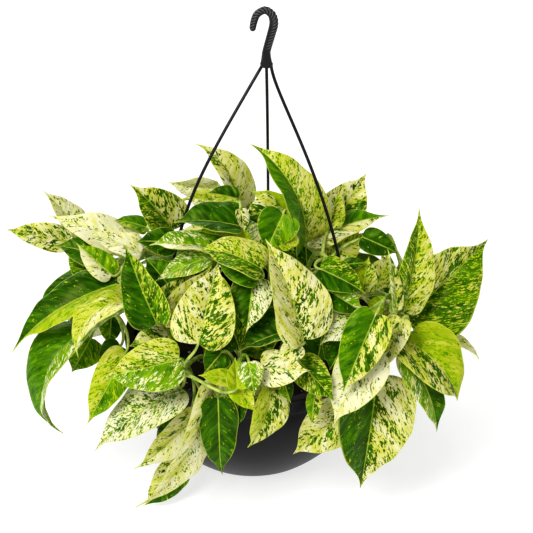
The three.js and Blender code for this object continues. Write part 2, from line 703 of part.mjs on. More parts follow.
// Hanger
function makeHook() {
  const base = vec(HUB_X, 0, HUB_BOTTOM + HUB_HEIGHT);
  const route = [...HOOK_ROUTE, ...HOOK_TIP].map(([x, z]) => vec(base.x + x, 0, base.z + z));
  const radii = route.map((_, k) => (k === route.length - 1 ? HOOK_TIP_TAPER : 1) * HOOK_RADIUS);
  const hook = tube(route, radii, HOOK_SIDES, vec(0, 1, 0));
  const outline = new THREE.Shape([
    [-HUB_WIDTH / 2, 0],
    [HUB_WIDTH / 2, 0],
    [HUB_WIDTH / 2, HUB_EDGE],
    [HOOK_RADIUS, HUB_HEIGHT],
    [-HOOK_RADIUS, HUB_HEIGHT],
    [-HUB_WIDTH / 2, HUB_EDGE],
  ].map(([x, z]) => new THREE.Vector2(x, z)));
  const hub = solid(new THREE.ExtrudeGeometry(outline, { depth: HUB_DEPTH, bevelEnabled: false })
    .rotateX(Math.PI / 2)
    .translate(HUB_X, HUB_DEPTH / 2, HUB_BOTTOM));
  const sockets = Object.values(CLIPS).map(({ place }) => {
    const middle = vec(HUB_X + place * STRAND_SPACING, 0, HUB_BOTTOM);
    return holeAt(STRAND_RADIUS + GAP, 2 * (STRAND_SINK + GAP), middle);
  });
  return hub.add(hook).subtract(fuse(sockets)).simplify(SLIVER);
}

function strandRoute({ place, azimuth, bow }) {
  const clip = clipPoint(azimuth).add(vec(0, 0, CLIP_RISE));
  const away = vec(clip.x, clip.y, 0).normalize();
  const start = vec(HUB_X + place * STRAND_SPACING, 0, HUB_BOTTOM);
  const reach = [
    start,
    start.clone().addScaledVector(away, bow.out).add(vec(0, 0, -bow.down)),
    clip.clone().addScaledVector(away, -bow.back).add(vec(0, 0, bow.up)),
    clip,
  ];
  return { clip, start, reach };
}

function makeStrand(ends) {
  const { clip, start, reach } = strandRoute(ends);
  const line = [start.clone().add(vec(0, 0, STRAND_SINK))];
  for (let k = 0; k <= STRAND_STEPS; k += 1) line.push(bezier(reach, k / STRAND_STEPS));
  const headTop = POT_HEIGHT - POT_WALL - GAP;
  line.push(vec(clip.x, clip.y, headTop - CLIP_HEAD.height / 2));
  const strand = tube(line, line.map(() => STRAND_RADIUS), STRAND_SIDES, vec(clip.y, -clip.x, 0));
  const { radius, height } = CLIP_HEAD;
  const head = solid(new THREE.CylinderGeometry(radius, STRAND_RADIUS, height, STRAND_SIDES)
    .rotateX(Math.PI / 2)
    .translate(clip.x, clip.y, headTop - height / 2));
  return strand.add(head);
}

// Vines
function stemRoute([x, y, ...reach], tipAt) {
  const root = vec(x, y, SOIL_TOP);
  const tip = tipAt(...reach);
  const lean = tip.clone().sub(root).setZ(0);
  const rise = tip.z - root.z;
  const { near, nearUp, far, farUp, least } = CLIMB;
  const curve = [
    root.clone().add(vec(0, 0, SOIL_RELIEF)),
    root.clone().addScaledVector(lean, near).add(vec(0, 0, Math.max(nearUp * rise, least))),
    root.clone().addScaledVector(lean, far).add(vec(0, 0, farUp * Math.max(rise, least))),
    tip,
  ];
  return { root, curve, across: vec(-lean.y, lean.x, 0).normalize() };
}

const frontTip = (u, w, inside) => seen(u, w, domeDepth(u, w) - inside);

class Vine {
  constructor(name, { root, curve, across }) {
    this.name = name;
    this.root = root;
    this.curve = curve;
    this.across = across;
    this.line = [root.clone().add(vec(0, 0, -STEM_SINK))];
    for (let k = 0; k <= STEM_STEPS; k += 1) this.line.push(bezier(curve, k / STEM_STEPS));
    this.pieces = [this.stem()];
  }

  stem() {
    const last = this.line.length - 1;
    const taper = (STEM_TIP_RADIUS - STEM_RADIUS) / last;
    return tube(this.line, this.line.map((_, k) => STEM_RADIUS + taper * k), STEM_SIDES, this.across);
  }

  hole() {
    const line = [-STEM_SINK - GAP, 3 * SOIL_RELIEF].map((z) => this.root.clone().add(vec(0, 0, z)));
    return tube(line, line.map(() => STEM_HOLE), STEM_SIDES, this.across);
  }
}

function petioleLine(leaf, vine, attach, lift, [behind, below, aside]) {
  const start = bezier(vine.curve, attach);
  const reach = start.distanceTo(leaf.foot);
  const scale = Math.min(1, reach / FULL_ARRIVAL);
  const arrival = leaf.foot.clone()
    .addScaledVector(leaf.start, -behind * scale)
    .addScaledVector(leaf.under, below * scale)
    .addScaledVector(leaf.side, aside * scale);
  const leave = start.clone().lerp(arrival, LEAVE).add(vec(0, 0, lift * reach));
  return PETIOLE_STATIONS.map((t) => bezier([start, leave, arrival, leaf.foot], t));
}

function petioleTube(line, extra) {
  const along = line[line.length - 1].clone().sub(line[0]).normalize();
  const across = Math.abs(along.z) > STEEP ? vec(1, 0.2, 0) : vec(0, 0, 1);
  return tube(line, PETIOLE_RADII.map((r) => r + extra), 4, across);
}

function leafAt(row, shift, random) {
  const [footU, footW, tipU, tipW, behind, pitch, width, roll, fold, bend, strips] = row;
  const depth = domeDepth((footU + tipU) / 2, (footW + tipW) / 2) - behind + shift;
  const foot = seen(footU, footW, depth - pitch / 2);
  const tip = seen(tipU, tipW, depth + pitch / 2);
  const facing = EYE.clone().sub(foot.clone().add(tip).multiplyScalar(0.5)).normalize();
  return new Leaf(foot, tip, facing, { width, roll, fold, bend, strips }, random);
}

// First petiole that is clear of everything but its own vine's stem and petioles
function findPetiole(leaf, { vines, fixed, stems, blades, petioles }) {
  const starts = vines.flatMap((vine) => ATTACH.map((attach) => (
    { vine, attach, far: bezier(vine.curve, attach).distanceTo(leaf.foot) })));
  starts.sort((a, b) => a.far - b.far);
  for (const { vine, attach } of starts.slice(0, NEAREST_STARTS)) {
    const others = [fixed, stems, petioles].flat().filter((other) => other.owner !== vine).concat(blades);
    for (const lift of LIFTS) {
      for (const arrival of ARRIVALS) {
        const line = petioleLine(leaf, vine, attach, lift, arrival);
        if (!crosses(petioleTube(line, CLEAR), others)) return { vine, line };
      }
    }
  }
  return null;
}

// Whether a leaf of the rules keeps within the outline that the other leaves show from the front
function keepsWithin(leaf) {
  return OUTLINE_TRIES.every(([s, e]) => {
    const [u, w] = shown(leaf.at(s, e));
    const across = (u - OUTLINE.u) / OUTLINE.across;
    const up = (w - OUTLINE.w) / (w > OUTLINE.w ? OUTLINE.above : OUTLINE.below);
    return across ** 2 + up ** 2 < 1;
  });
}

// Grow the first of a leaf's versions that is clear of everything and finds a petiole
function place(plant, leaves) {
  const { fixed, stems, blades, petioles } = plant;
  for (const leaf of leaves) {
    const test = solid(leaf.skin(BLADE + 2 * CLEAR));
    if (boxOf(test).min.z < LOWEST || crosses(test, [fixed, stems, blades, petioles].flat())) continue;
    const found = findPetiole(leaf, plant);
    if (!found) continue;
    blades.push(obstacle(solid(leaf.skin(BLADE)), found.vine));
    petioles.push(obstacle(petioleTube(found.line, 0), found.vine));
    found.vine.pieces.push(solid(leaf.skin(BLADE, found.line)));
    return;
  }
}

// A leaf of the rules: the k-th on its dome, nudged from there
function ruledLeaf(k, { count, seed, centre, dome, from, to, middle, sweep, rise }, [inwards, upwards]) {
  const random = draws(seed + k);
  const share = (k + 0.5) / count;
  const climb = Math.asin(THREE.MathUtils.lerp(Math.sin(rad(from)), Math.sin(rad(to)), share));
  const azimuth = rad(middle + sweep * (2 * ((k * TURN.each + TURN.start) % 1) - 1));
  const flat = Math.cos(Math.max(climb, 0));
  const out = vec(Math.cos(azimuth) * flat, Math.sin(azimuth) * flat, Math.sin(climb));
  const nudge = vec(1 + inwards, 1 + inwards, 1);
  const middlePoint = out.clone().multiply(dome).multiply(nudge).add(centre).add(vec(0, 0, upwards));
  const normal = out.clone().setZ(Math.max(out.z, 0)).divide(dome).normalize();
  const fall = vec(0, 0, rise);
  fall.addScaledVector(normal, -fall.dot(normal)).normalize();
  fall.applyAxisAngle(normal, rad(SWING * (2 * random() - 1)));
  const heading = mixed(fall, HEADING.fall, normal, HEADING.least + HEADING.spread * random()).normalize();
  const length = LENGTH.least + LENGTH.spread * random();
  const foot = middlePoint.clone().addScaledVector(heading, -length / 2);
  const tip = middlePoint.clone().addScaledVector(heading, length / 2);
  const roll = RULED.roll * (2 * random() - 1);
  const bend = RULED.leastBend + RULED.moreBend * random();
  const { fold, strips } = RULED;
  return new Leaf(foot, tip, normal, { width: RULED.width * length, roll, fold, bend, strips }, random);
}

function grow() {
  const vines = [
    ...Object.entries(VINES).map(([name, row]) => new Vine(name, stemRoute(row, frontTip))),
    ...Object.entries(BACK_VINES).map(([name, row]) => new Vine(name, stemRoute(row, vec))),
  ];
  const fixed = {
    pot: makePot(),
    soil: makeSoil(vines.map((vine) => vine.hole())),
    hanger_hook: makeHook(),
  };
  for (const [name, ends] of Object.entries(CLIPS)) fixed[`strand_${name}`] = makeStrand(ends);
  const plant = {
    vines,
    fixed: Object.values(fixed).map((piece) => obstacle(piece, null)),
    stems: vines.map((vine) => obstacle(vine.pieces[0], vine)),
    blades: [],
    petioles: [],
  };
  const order = LEAVES.map((row, k) => [row, k]).sort((a, b) => a[0][4] - b[0][4]);
  for (const [row, k] of order) {
    place(plant, SHIFTS.map((shift) => leafAt(row, shift, draws(LEAF_SEED + k))));
  }
  for (const spec of [CROWN, BACK, INNER]) {
    for (let k = 0; k < spec.count; k += 1) {
      place(plant, NUDGES.map((nudge) => ruledLeaf(k, spec, nudge)).filter(keepsWithin));
    }
  }
  return { vines, fixed };
}

const FIXED_FINISHES = {
  pot: [POT_COLOUR, 0.45],
  soil: [SOIL_COLOUR, 0.95],
  hanger_hook: [HANGER_COLOUR, 0.5],
  strand_left: [HANGER_COLOUR, 0.5],
  strand_back: [HANGER_COLOUR, 0.5],
  strand_right: [HANGER_COLOUR, 0.5],
};
const LEAF_FINISH = [LEAF_COLOUR, 0.45];

const group = new THREE.Group();
function add(name, manifold, [color, roughness]) {
  const material = new THREE.MeshStandardMaterial({ color, roughness, metalness: 0 });
  const mesh = new THREE.Mesh(geometryOf(manifold), material);
  mesh.name = name;
  group.add(mesh);
}
const { vines, fixed } = grow();
for (const [name, piece] of Object.entries(fixed)) add(name, piece, FIXED_FINISHES[name]);
for (const vine of vines) add(`vine_${vine.name}`, fuse(vine.pieces), LEAF_FINISH);
export default group;
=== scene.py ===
"""Looks of a marble queen pothos in its black plastic hanging pot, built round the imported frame.

Lengths are in millimetres until a mesh is finished, where they become metres. The frame has +Z up,
its origin under the middle of the pot, and its front along -Y.
"""
import logging
import math
import random
from collections.abc import Callable, Sequence
from dataclasses import dataclass, field
from enum import Enum

import bmesh
import bpy
import numpy as np
from mathutils import Matrix, Vector, kdtree, noise


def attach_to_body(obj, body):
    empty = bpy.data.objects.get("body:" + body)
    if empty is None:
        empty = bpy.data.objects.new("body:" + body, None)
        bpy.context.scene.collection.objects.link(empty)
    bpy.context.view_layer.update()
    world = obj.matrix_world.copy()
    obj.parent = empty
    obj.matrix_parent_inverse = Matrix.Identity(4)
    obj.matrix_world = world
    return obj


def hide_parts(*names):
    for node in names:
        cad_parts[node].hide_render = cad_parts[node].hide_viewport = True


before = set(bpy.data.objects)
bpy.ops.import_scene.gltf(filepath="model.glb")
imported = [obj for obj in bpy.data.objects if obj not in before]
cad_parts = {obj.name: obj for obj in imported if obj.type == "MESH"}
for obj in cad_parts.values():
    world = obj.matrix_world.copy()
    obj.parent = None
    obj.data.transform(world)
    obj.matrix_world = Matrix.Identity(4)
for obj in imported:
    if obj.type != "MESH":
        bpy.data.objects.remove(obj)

log = logging.getLogger("pothos")
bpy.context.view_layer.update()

MM = 0.001
BODY = "root"
MERGE = 0.001
WHITE = (1.0, 1.0, 1.0, 1.0)
UPWARDS = np.array((0.0, 0.0, 1.0))

# The blades' attributes: where a place lies along and out from the midrib, with the leaf's own number;
# how near the margin, whether it is the underside, and how deep its green is; and its marbling
BLADE_LAYERS = ("leaf_place", "leaf_skin", "leaf_tones")
Layer = tuple[float, float, float, float]

# Pot, as in the part
POT_HEIGHT = 118.0
POT_FOOT_RADIUS = 69.0
POT_RIM_RADIUS = 119.0
POT_WALL = 2.2
POT_FULLNESS = 2.4
LIP_WIDTH = 9.0
BAND_HEIGHT = 15.0
BAND_STEP = 2.6
BAND_FLARE = 1.0
DRAIN_HOLES = 5
DRAIN_RADIUS = 4.5
DRAIN_RING = 40.0

HOLE_CREASE = math.radians(40)

# Soil
SOIL_TOP = 100.0
SOIL_RELIEF = 2.2
SOIL_SWELLS = (13.0, 17.0, 1.0)
GAP = 0.3

# Hanger
HUB_X = 13.0
HUB_BOTTOM = 384.0
HUB_HEIGHT = 12.0
HOOK_ROUTE = (
    (0, -6), (-0.3, 0), (3.6, 15.3), (5.9, 24.5), (5.9, 30), (3.9, 35), (-1.3, 38.2),
    (-7.6, 34.8), (-10.4, 28.2), (-12, 19.6),
)
HOOK_RADII = (3.4, 3.5, 3.7, 3.85, 3.8, 3.5, 3.2, 3.2, 3.1, 2.7)
HUB_LEAN = 0.3
HUB_SECTIONS = (
    (-0.6, 4.7, 2.9), (0, 5.2, 3.2), (1.6, 5.3, 3.2), (2.8, 5.1, 3.2), (5.6, 4.5, 3.3), (9, 4.0, 3.4),
    (12.5, 3.65, 3.5), (15, 3.3, 3.3),
)
STRAND_RADIUS = 1.4
STRAND_SPACING = 4.0
STRAND_SINK = 3.0
CLIP_RING = 112.6
CLIP_HOLE = 1.7
CLIP_RISE = 6.0
CLIP_HEAD = 2.4
CLIP_DROPS = (0.05, 1, 4)

# The side that the leaves are laid out from, as in the part: u mm right of the pot's axis and
# w mm above its front foot edge, in the plane through the aim, and a depth towards the eye
EYE_TILT = math.radians(31.0)
EYE_DISTANCE = 1400.0
AIM = np.array((13.0, 0.0, 187.0))
AIM_RISE = 190.5
RIGHT = np.array((1.0, 0.0, 0.0))
UP = np.array((0.0, math.sin(EYE_TILT), math.cos(EYE_TILT)))
TOWARDS = np.array((0.0, -math.cos(EYE_TILT), math.sin(EYE_TILT)))
EYE = AIM + TOWARDS * EYE_DISTANCE
FOCAL_PIXELS = 1540.0
FRAME_PIXELS = 533
SENSOR = 36.0
DOME_MIDDLE = np.array((0.0, 0.0, 135.0))
DOME = np.array((215.0, 150.0, 145.0))
SHIFTS = (0, -4, 4, -8, 8, -13, 12, -18, 16, -24, -30, -37, -45, -54, -64)

# Blade, stem and petiole forms, as in the part
BLADE = 0.8
FINE_BLADE = 0.55
LEAF_SEED = 1200
RIB_EASE = 1.6
LOBE = 0.55
BELLY = 0.3
TIP_TAPER = 0.35
WIDEST = 1.035
STATION_EASE = 1.25
CAMBER = 0.045
WAVES = 2.1
WAVE = (0.015, 0.03)
TWIST = 8.0
LEAST_BEND = 2.0
NORMAL_STEP = 0.02
NORMAL_EDGE = 0.06
PETIOLE_RADII = (1.7, 1.45, 1.3, 1.15)
PETIOLE_STATIONS = (0.0, 0.38, 0.72, 1.0)
STEM_RADIUS = 2.8
STEM_TIP_RADIUS = 1.6
STEM_SINK = 26.0
CLIMB_NEAR = (0.12, 0.75)
CLIMB_FAR = (0.55, 1.02)
CLIMB_LEAST = 30.0
ATTACH = (1, 0.92, 0.84, 0.76, 0.68, 0.6, 0.52, 0.44, 0.36)
LIFTS = (0.25, 0.5, 0.05, 0.8)
ARRIVALS = (
    (14, 7, 0), (10, 12, 0), (14, 7, 10), (14, 7, -10), (20, 3, 0), (8, 16, 8), (8, 16, -8), (4, 22, 0),
)
FULL_ARRIVAL = 40.0
LEAVE = 0.35


class Marbling(Enum):
    """How one half of a leaf is marbled.

    Each has how far the pale parts outweigh the green ones, how yellow the pale is, how much of the
    marbling is in patches rather than flecks, and how deep the green is.
    """

    SNOWY = (0.45, 0.06, 0.35, 0.55)
    CREAM = (1.20, 0.16, 0.45, 0.76)
    BUTTER = (1.05, 0.37, 0.45, 0.72)
    FLECKED = (0.62, 0.30, 0.50, 0.80)
    SPECKLED = (0.60, 0.55, 0.30, 0.56)
    YELLOW = (0.95, 0.66, 0.30, 0.45)
    LIME = (0.80, 0.92, 0.45, 0.24)
    PALE = (1.30, 0.18, 0.30, 0.50)
    MARBLED = (0.10, 0.40, 0.55, 0.75)
    STREAKED = (-0.85, 0.68, 0.30, 0.68)
    FROSTED = (-0.75, 0.12, 0.40, 0.34)
    OLIVE = (-1.10, 0.85, 0.35, 0.46)
    GREEN = (-2.30, 0.80, 0.40, 0.60)
    DARK = (-2.30, 0.80, 0.40, 0.84)


(SNOWY, CREAM, BUTTER, FLECKED, SPECKLED, YELLOW, LIME, PALE, MARBLED, STREAKED, FROSTED, OLIVE, GREEN,
 DARK) = Marbling

# Each leaf, as in the part: foot u, w, tip u, w, mm behind the dome, how much nearer the tip is than
# the foot, width, roll, fold, bend and strips; then the marbling of its left or upper half, and of
# its right or lower half
LEAVES = (
    # front and middle
    (-49, 121, -31, 196, 0, 0, 54, 0, 12, 25, 5, FLECKED, MARBLED),
    (46, 125, 11, 216, 0, 0, 62, 36, 20, 30, 5, BUTTER, FLECKED),
    (1, 178, -5, 129, 10, 5, 36, 0, 10, 20, 4, DARK, SNOWY),
    (34, 132, -13, 113, 10, 5, 50, 50, 25, 20, 5, DARK, DARK),
    (9, 99, 53, 95, 0, 12, 32, 0, 8, 15, 4, FLECKED, CREAM),
    (43, 104, 76, 68, 10, 8, 30, 0, 12, 15, 4, STREAKED, STREAKED),
    (17, 77, -3, 25, 10, -10, 40, -40, 18, 40, 5, YELLOW, MARBLED),
    (-20, 89, -49, 92, 0, 5, 16, 0, 20, 10, 4, LIME, LIME),
    (-14, 80, -16, 108, 0, 0, 22, 15, 25, 10, 4, LIME, LIME),
    (-17, 88, 4, 57, -2, 0, 22, 10, 25, 10, 4, LIME, YELLOW),
    (-3, 103, 2, 73, 8, 0, 22, 0, 12, 10, 4, FROSTED, FROSTED),
    (10, 92, 5, 54, 12, 0, 26, -20, 12, 20, 4, BUTTER, BUTTER),
    (-28, 112, -44, 93, 8, 6, 24, 0, 10, 20, 4, DARK, DARK),
    (-24, 96, -30, 118, 12, 0, 14, 50, 15, 10, 4, LIME, LIME),
    (-12, 79, -13, 43, 14, -14, 20, 20, 15, 10, 4, GREEN, DARK),
    (-31, 70, -29, -1, 8, -36, 35, 0, 12, 20, 5, DARK, DARK),
    (28, 89, 35, 66, 14, 0, 14, 0, 15, 10, 4, OLIVE, DARK),
    (57, 76, 54, 46, 16, -10, 14, 0, 15, 10, 4, OLIVE, MARBLED),
    (44, 119, 22, 108, 3, 0, 20, 0, 12, 15, 4, FLECKED, FLECKED),
    # front left
    (-67, 106, -136, 89, 0, 0, 46, -5, 15, 20, 5, SPECKLED, FROSTED),
    (-78, 122, -112, 118, 14, 0, 34, 30, 10, 40, 5, MARBLED, STREAKED),
    (-115, 112, -150, 46, 8, -20, 34, 5, 15, 20, 4, YELLOW, OLIVE),
    (-66, 80, -145, 25, 12, -14, 49, 25, 10, 35, 6, SNOWY, SNOWY),
    (-48, 58, -106, 4, 12, -22, 35, -30, 15, 14, 4, BUTTER, CREAM),
    (-35, 84, -103, -31, 0, -28, 46, -50, 15, 48, 6, BUTTER, PALE),
    (-68, 10, -98, -28, 1, 0, 34, -25, 12, 40, 5, MARBLED, DARK),
    (-62, 52, -90, 30, 30, -10, 24, 0, 12, 10, 4, DARK, DARK),
    # left
    (-113, 157, -159, 107, -4, 10, 38, 50, 10, 130, 6, YELLOW, BUTTER),
    (-124, 174, -220, 114, 0, 0, 48, 45, 15, 45, 6, DARK, LIME),
    (-128, 180, -201, 141, 10, 0, 50, 40, 12, 50, 6, DARK, GREEN),
    (-154, 130, -174, 38, 5, -20, 54, 58, 21, 118, 6, GREEN, FROSTED),
    (-147, 125, -165, 94, 16, 0, 34, -10, 10, 40, 5, OLIVE, OLIVE),
    (-120, 118, -140, 98, 18, 0, 26, 0, 12, 20, 4, DARK, DARK),
    (-128, 145, -130, 118, 42, 0, 22, 0, 12, 20, 4, OLIVE, DARK),
    (-168, 213, -225, 224, 0, 5, 28, 10, 20, 36, 5, FLECKED, FLECKED),
    (-156, 222, -191, 260, 12, 20, 29, 30, 18, 20, 4, CREAM, CREAM),
    (-108, 209, -186, 236, 6, 0, 37, 30, 8, 25, 5, CREAM, CREAM),
    (-102, 203, -152, 221, 0, 0, 30, 45, 8, 20, 4, CREAM, CREAM),
    (-130, 198, -181, 210, 6, 0, 32, 30, 8, 20, 4, DARK, DARK),
    (-144, 181, -169, 208, 14, 0, 30, 20, 10, 20, 4, STREAKED, STREAKED),
    (-128, 183, -161, 212, 6, 0, 26, 10, 15, 15, 4, OLIVE, CREAM),
    (-97, 226, -126, 233, 32, 10, 22, 45, 10, 20, 4, GREEN, OLIVE),
    (-87, 140, -115, 211, 0, 5, 42, -20, 25, 20, 5, DARK, STREAKED),
    (-82, 146, -52, 184, 20, 0, 34, 0, 15, 20, 4, MARBLED, STREAKED),
    (-80, 140, -36, 192, 8, 0, 30, 20, 15, 20, 4, BUTTER, MARBLED),
    (-40, 198, -89, 177, 6, 0, 26, 40, 12, 20, 4, FROSTED, FROSTED),
    # top left
    (-72, 224, -111, 266, 14, 30, 46, 20, 20, 30, 5, STREAKED, MARBLED),
    (-33, 262, -77, 267, 45, 0, 30, -35, 20, 20, 4, PALE, PALE),
    (-14, 240, -51, 304, 30, 20, 44, 43, 14, 95, 6, MARBLED, BUTTER),
    (-12, 227, -72, 231, 0, 0, 46, 50, 22, 25, 5, DARK, DARK),
    (-14, 252, -42, 258, 28, 0, 22, 20, 12, 10, 4, DARK, YELLOW),
    (-38, 250, -60, 254, 40, 0, 20, 0, 12, 10, 4, YELLOW, CREAM),
    (-11, 242, -7, 222, 3, 0, 14, -30, 15, 10, 4, FLECKED, FLECKED),
    (-40, 206, -94, 210, 4, 0, 34, 55, 20, 30, 5, FROSTED, CREAM),
    (8, 188, -50, 207, 3, 0, 44, 45, 15, 45, 5, SPECKLED, STREAKED),
    (-4, 212, -56, 223, 5, 0, 20, 30, 15, 20, 4, LIME, GREEN),
    (6, 184, -36, 197, 0, 0, 34, 20, 10, 20, 4, STREAKED, GREEN),
    # top right
    (47, 213, -3, 303, 4, 25, 52, 38, 20, 96, 6, GREEN, SPECKLED),
    (28, 238, 12, 203, 10, 0, 36, 0, 12, 15, 4, GREEN, OLIVE),
    (38, 236, -3, 260, 26, 0, 26, 30, 12, 15, 4, LIME, YELLOW),
    (22, 244, -8, 234, 22, 0, 30, 20, 10, 15, 4, MARBLED, DARK),
    (36, 208, 25, 229, 8, 0, 18, 0, 12, 10, 4, YELLOW, YELLOW),
    (70, 222, 105, 276, 14, 10, 48, 0, 18, 20, 5, FLECKED, MARBLED),
    (70, 228, 79, 262, 24, 0, 24, 0, 12, 10, 4, FLECKED, SPECKLED),
    (52, 214, 124, 238, 6, 0, 38, -48, 10, 20, 5, GREEN, FLECKED),
    (66, 196, 104, 222, 44, 0, 34, 0, 10, 15, 4, SPECKLED, BUTTER),
    (101, 217, 134, 202, 10, 0, 24, -10, 12, 15, 4, DARK, DARK),
    (62, 188, 104, 166, 2, 0, 32, -25, 10, 20, 4, STREAKED, DARK),
    (70, 168, 102, 148, 6, 0, 28, -10, 15, 15, 4, FROSTED, DARK),
    (101, 148, 61, 120, 6, 0, 30, 20, 12, 15, 4, SNOWY, SNOWY),
    (84, 192, 105, 194, 22, 0, 12, -20, 12, 10, 4, DARK, DARK),
    (100, 168, 106, 200, 24, 0, 24, 0, 12, 10, 4, LIME, SPECKLED),
    (111, 163, 124, 204, 16, 0, 34, 0, 12, 15, 4, BUTTER, SPECKLED),
    (131, 152, 124, 206, 10, 0, 18, 50, 15, 10, 4, FROSTED, MARBLED),
    (134, 152, 133, 196, 14, 0, 20, -40, 15, 10, 4, FROSTED, DARK),
    # right
    (138, 151, 153, 245, 8, 10, 40, 34, 20, 20, 5, STREAKED, SPECKLED),
    (141, 146, 214, 217, 0, 0, 84, 22, 22, 20, 5, MARBLED, STREAKED),
    (176, 124, 207, 106, 14, 0, 18, -60, 10, 60, 4, PALE, PALE),
    (142, 122, 187, 67, 14, -10, 62, -35, 15, 80, 6, MARBLED, LIME),
    (139, 112, 168, 39, 0, -20, 38, -35, 15, 52, 6, FROSTED, DARK),
    (136, 142, 115, 92, 2, 0, 26, 20, 12, 15, 4, BUTTER, BUTTER),
    (128, 134, 108, 115, 10, 0, 28, 0, 12, 10, 4, SPECKLED, CREAM),
    (128, 156, 112, 138, 10, 0, 20, 20, 12, 10, 4, CREAM, CREAM),
    (128, 160, 104, 162, 18, 0, 22, 30, 12, 10, 4, DARK, DARK),
    (119, 153, 103, 158, 12, 0, 20, 30, 12, 20, 4, LIME, LIME),
    # front right
    (112, 146, 82, 74, -4, -10, 40, 5, 12, 25, 5, GREEN, MARBLED),
    (110, 112, 72, 47, 6, -10, 46, 10, 10, 20, 5, CREAM, CREAM),
    (113, 89, 97, -12, 6, -35, 75, -18, 20, 20, 5, DARK, FLECKED),
    (86, 60, 36, 20, 14, -14, 46, -15, 12, 10, 5, FLECKED, FLECKED),
    (84, 120, 70, 96, 26, 0, 34, 0, 12, 10, 4, DARK, DARK),
    # in the gaps
    (-72, 168, -98, 200, 30, 0, 34, 10, 12, 20, 4, DARK, GREEN),
    (50, 190, 48, 220, 34, 0, 32, 0, 12, 20, 4, DARK, DARK),
    (-12, 118, -26, 156, 30, 0, 36, 0, 12, 20, 4, DARK, STREAKED),
    (60, 108, 66, 142, 30, 0, 40, 0, 12, 20, 4, DARK, GREEN),
    (-70, 212, -106, 214, 20, 0, 26, 10, 12, 20, 4, DARK, DARK),
    (96, 132, 74, 158, 30, 0, 38, 0, 12, 20, 4, DARK, STREAKED),
)

# Vines: soil root x, y, then the tip's u, w and how far it lies inside the dome
VINES = {
    "front_left": (-34, -52, -66, 92, 24),
    "front_middle": (-6, -62, -14, 96, 26),
    "front_centre": (24, -58, 36, 112, 24),
    "front_right": (52, -44, 104, 98, 26),
    "right_low": (72, -22, 142, 128, 20),
    "right_high": (66, 8, 128, 160, 30),
    "top_right": (42, 4, 70, 196, 30),
    "top_middle": (14, -10, 26, 214, 34),
    "top_left": (-14, 2, -22, 226, 32),
    "middle": (-10, -34, -6, 168, 34),
    "middle_left": (-42, -24, -84, 146, 26),
    "left": (-70, -22, -124, 146, 24),
    "left_high": (-54, 6, -112, 198, 28),
    "far_left": (-76, 6, -156, 190, 26),
}

# Back vines: soil root x, y, then the tip's x, y, z
BACK_VINES = {
    "back_left": (-52, 40, -108, 62, 196),
    "back_middle": (-8, 48, -24, 92, 216),
    "back_right": (30, 44, 62, 84, 206),
    "right_back": (58, 32, 124, 46, 192),
}


@dataclass(frozen=True)
class Spread:
    """Leaves spread over a dome by turns of the golden angle, as in the part."""

    count: int
    seed: int
    centre: tuple[float, float, float]
    dome: tuple[float, float, float]
    lowest: float
    highest: float
    middle: float
    sweep: float
    rise: float


SPREADS = (
    Spread(28, 141, (0, 6, 118), (132, 118, 76), 14, 76, 90, 108, -0.5),
    Spread(21, 41, (0, 0, 122), (176, 138, 92), -52, 12, 90, 96, -1),
    Spread(8, 77, (0, 0, 135), (156, 110, 106), 12, 60, 270, 80, 0.9),
)
TURN = (0.31, 0.618034)
NUDGES = (
    (0, 0), (-0.06, 0), (0, -8), (0.05, -6), (-0.1, -8), (-0.06, 8), (0.06, -16), (-0.16, 4), (0, -24),
    (-0.2, -12), (-0.3, 4),
)
SWING = 40.0
HEADING = (0.88, 0.1, 0.35)
LENGTH = (60.0, 34.0)
RULED_WIDTH = 0.58
RULED_ROLL = 18.0
RULED_FOLD = 14.0
RULED_BEND = (30.0, 50.0)
RULED_STRIPS = 4
RULED_LOOKS = (
    (FLECKED, MARBLED), (CREAM, FLECKED), (STREAKED, MARBLED), (LIME, YELLOW), (DARK, STREAKED),
    (MARBLED, MARBLED), (YELLOW, FLECKED), (GREEN, CREAM), (STREAKED, STREAKED), (PALE, MARBLED),
)

# How close a packed corner has to be to count as the one looked for, and how many have to be found
CORNER_REACH = 0.06
ENOUGH_CORNERS = 0.6


def linear(hex_colour: str) -> tuple[float, float, float, float]:
    """Turn an sRGB hex colour into the linear colour that shaders take.

    Args:
        hex_colour: six hex digits, such as "EDEBC0".

    Returns:
        Linear red, green, blue and an alpha of 1.
    """
    shares = [int(hex_colour[k:k + 2], 16) / 255 for k in (0, 2, 4)]
    return (*[c / 12.92 if c <= 0.04045 else ((c + 0.055) / 1.055) ** 2.4 for c in shares], 1.0)


def fill_sockets(node: bpy.types.Node, values: dict) -> None:
    """Give a node's inputs their constants and links.

    Args:
        node: the node.
        values: a constant, or a socket to link from, for each input by name or number.
    """
    for key, value in values.items():
        if isinstance(value, bpy.types.NodeSocket):
            node.id_data.links.new(value, node.inputs[key])
        else:
            node.inputs[key].default_value = value


def add_node(tree: bpy.types.NodeTree, kind: str, values: dict | None = None,
             stops: Sequence[tuple[float, str]] = (), **settings: object) -> bpy.types.Node:
    """Add a shader node with its settings, constants and links.

    Args:
        tree: the node tree that it goes into.
        kind: the node's type name.
        values: a constant, or a socket to link from, for each input by name or number.
        stops: positions and sRGB hex colours of a colour ramp.
        **settings: the node's own properties.

    Returns:
        The new node.
    """
    made = tree.nodes.new(kind)
    for name, value in settings.items():
        setattr(made, name, value)
    fill_sockets(made, values or {})
    if stops:
        elements = made.color_ramp.elements
        while len(elements) < len(stops):
            elements.new(1.0)
        for element, (position, colour) in zip(elements, stops):
            element.position = position
            element.color = linear(colour)
    return made


def blend(tree: bpy.types.NodeTree, share: bpy.types.NodeSocket, one: object,
          other: object) -> bpy.types.NodeSocket:
    """Mix two colours by a share."""
    return add_node(tree, "ShaderNodeMix", {0: share, 6: one, 7: other}, data_type="RGBA").outputs[2]


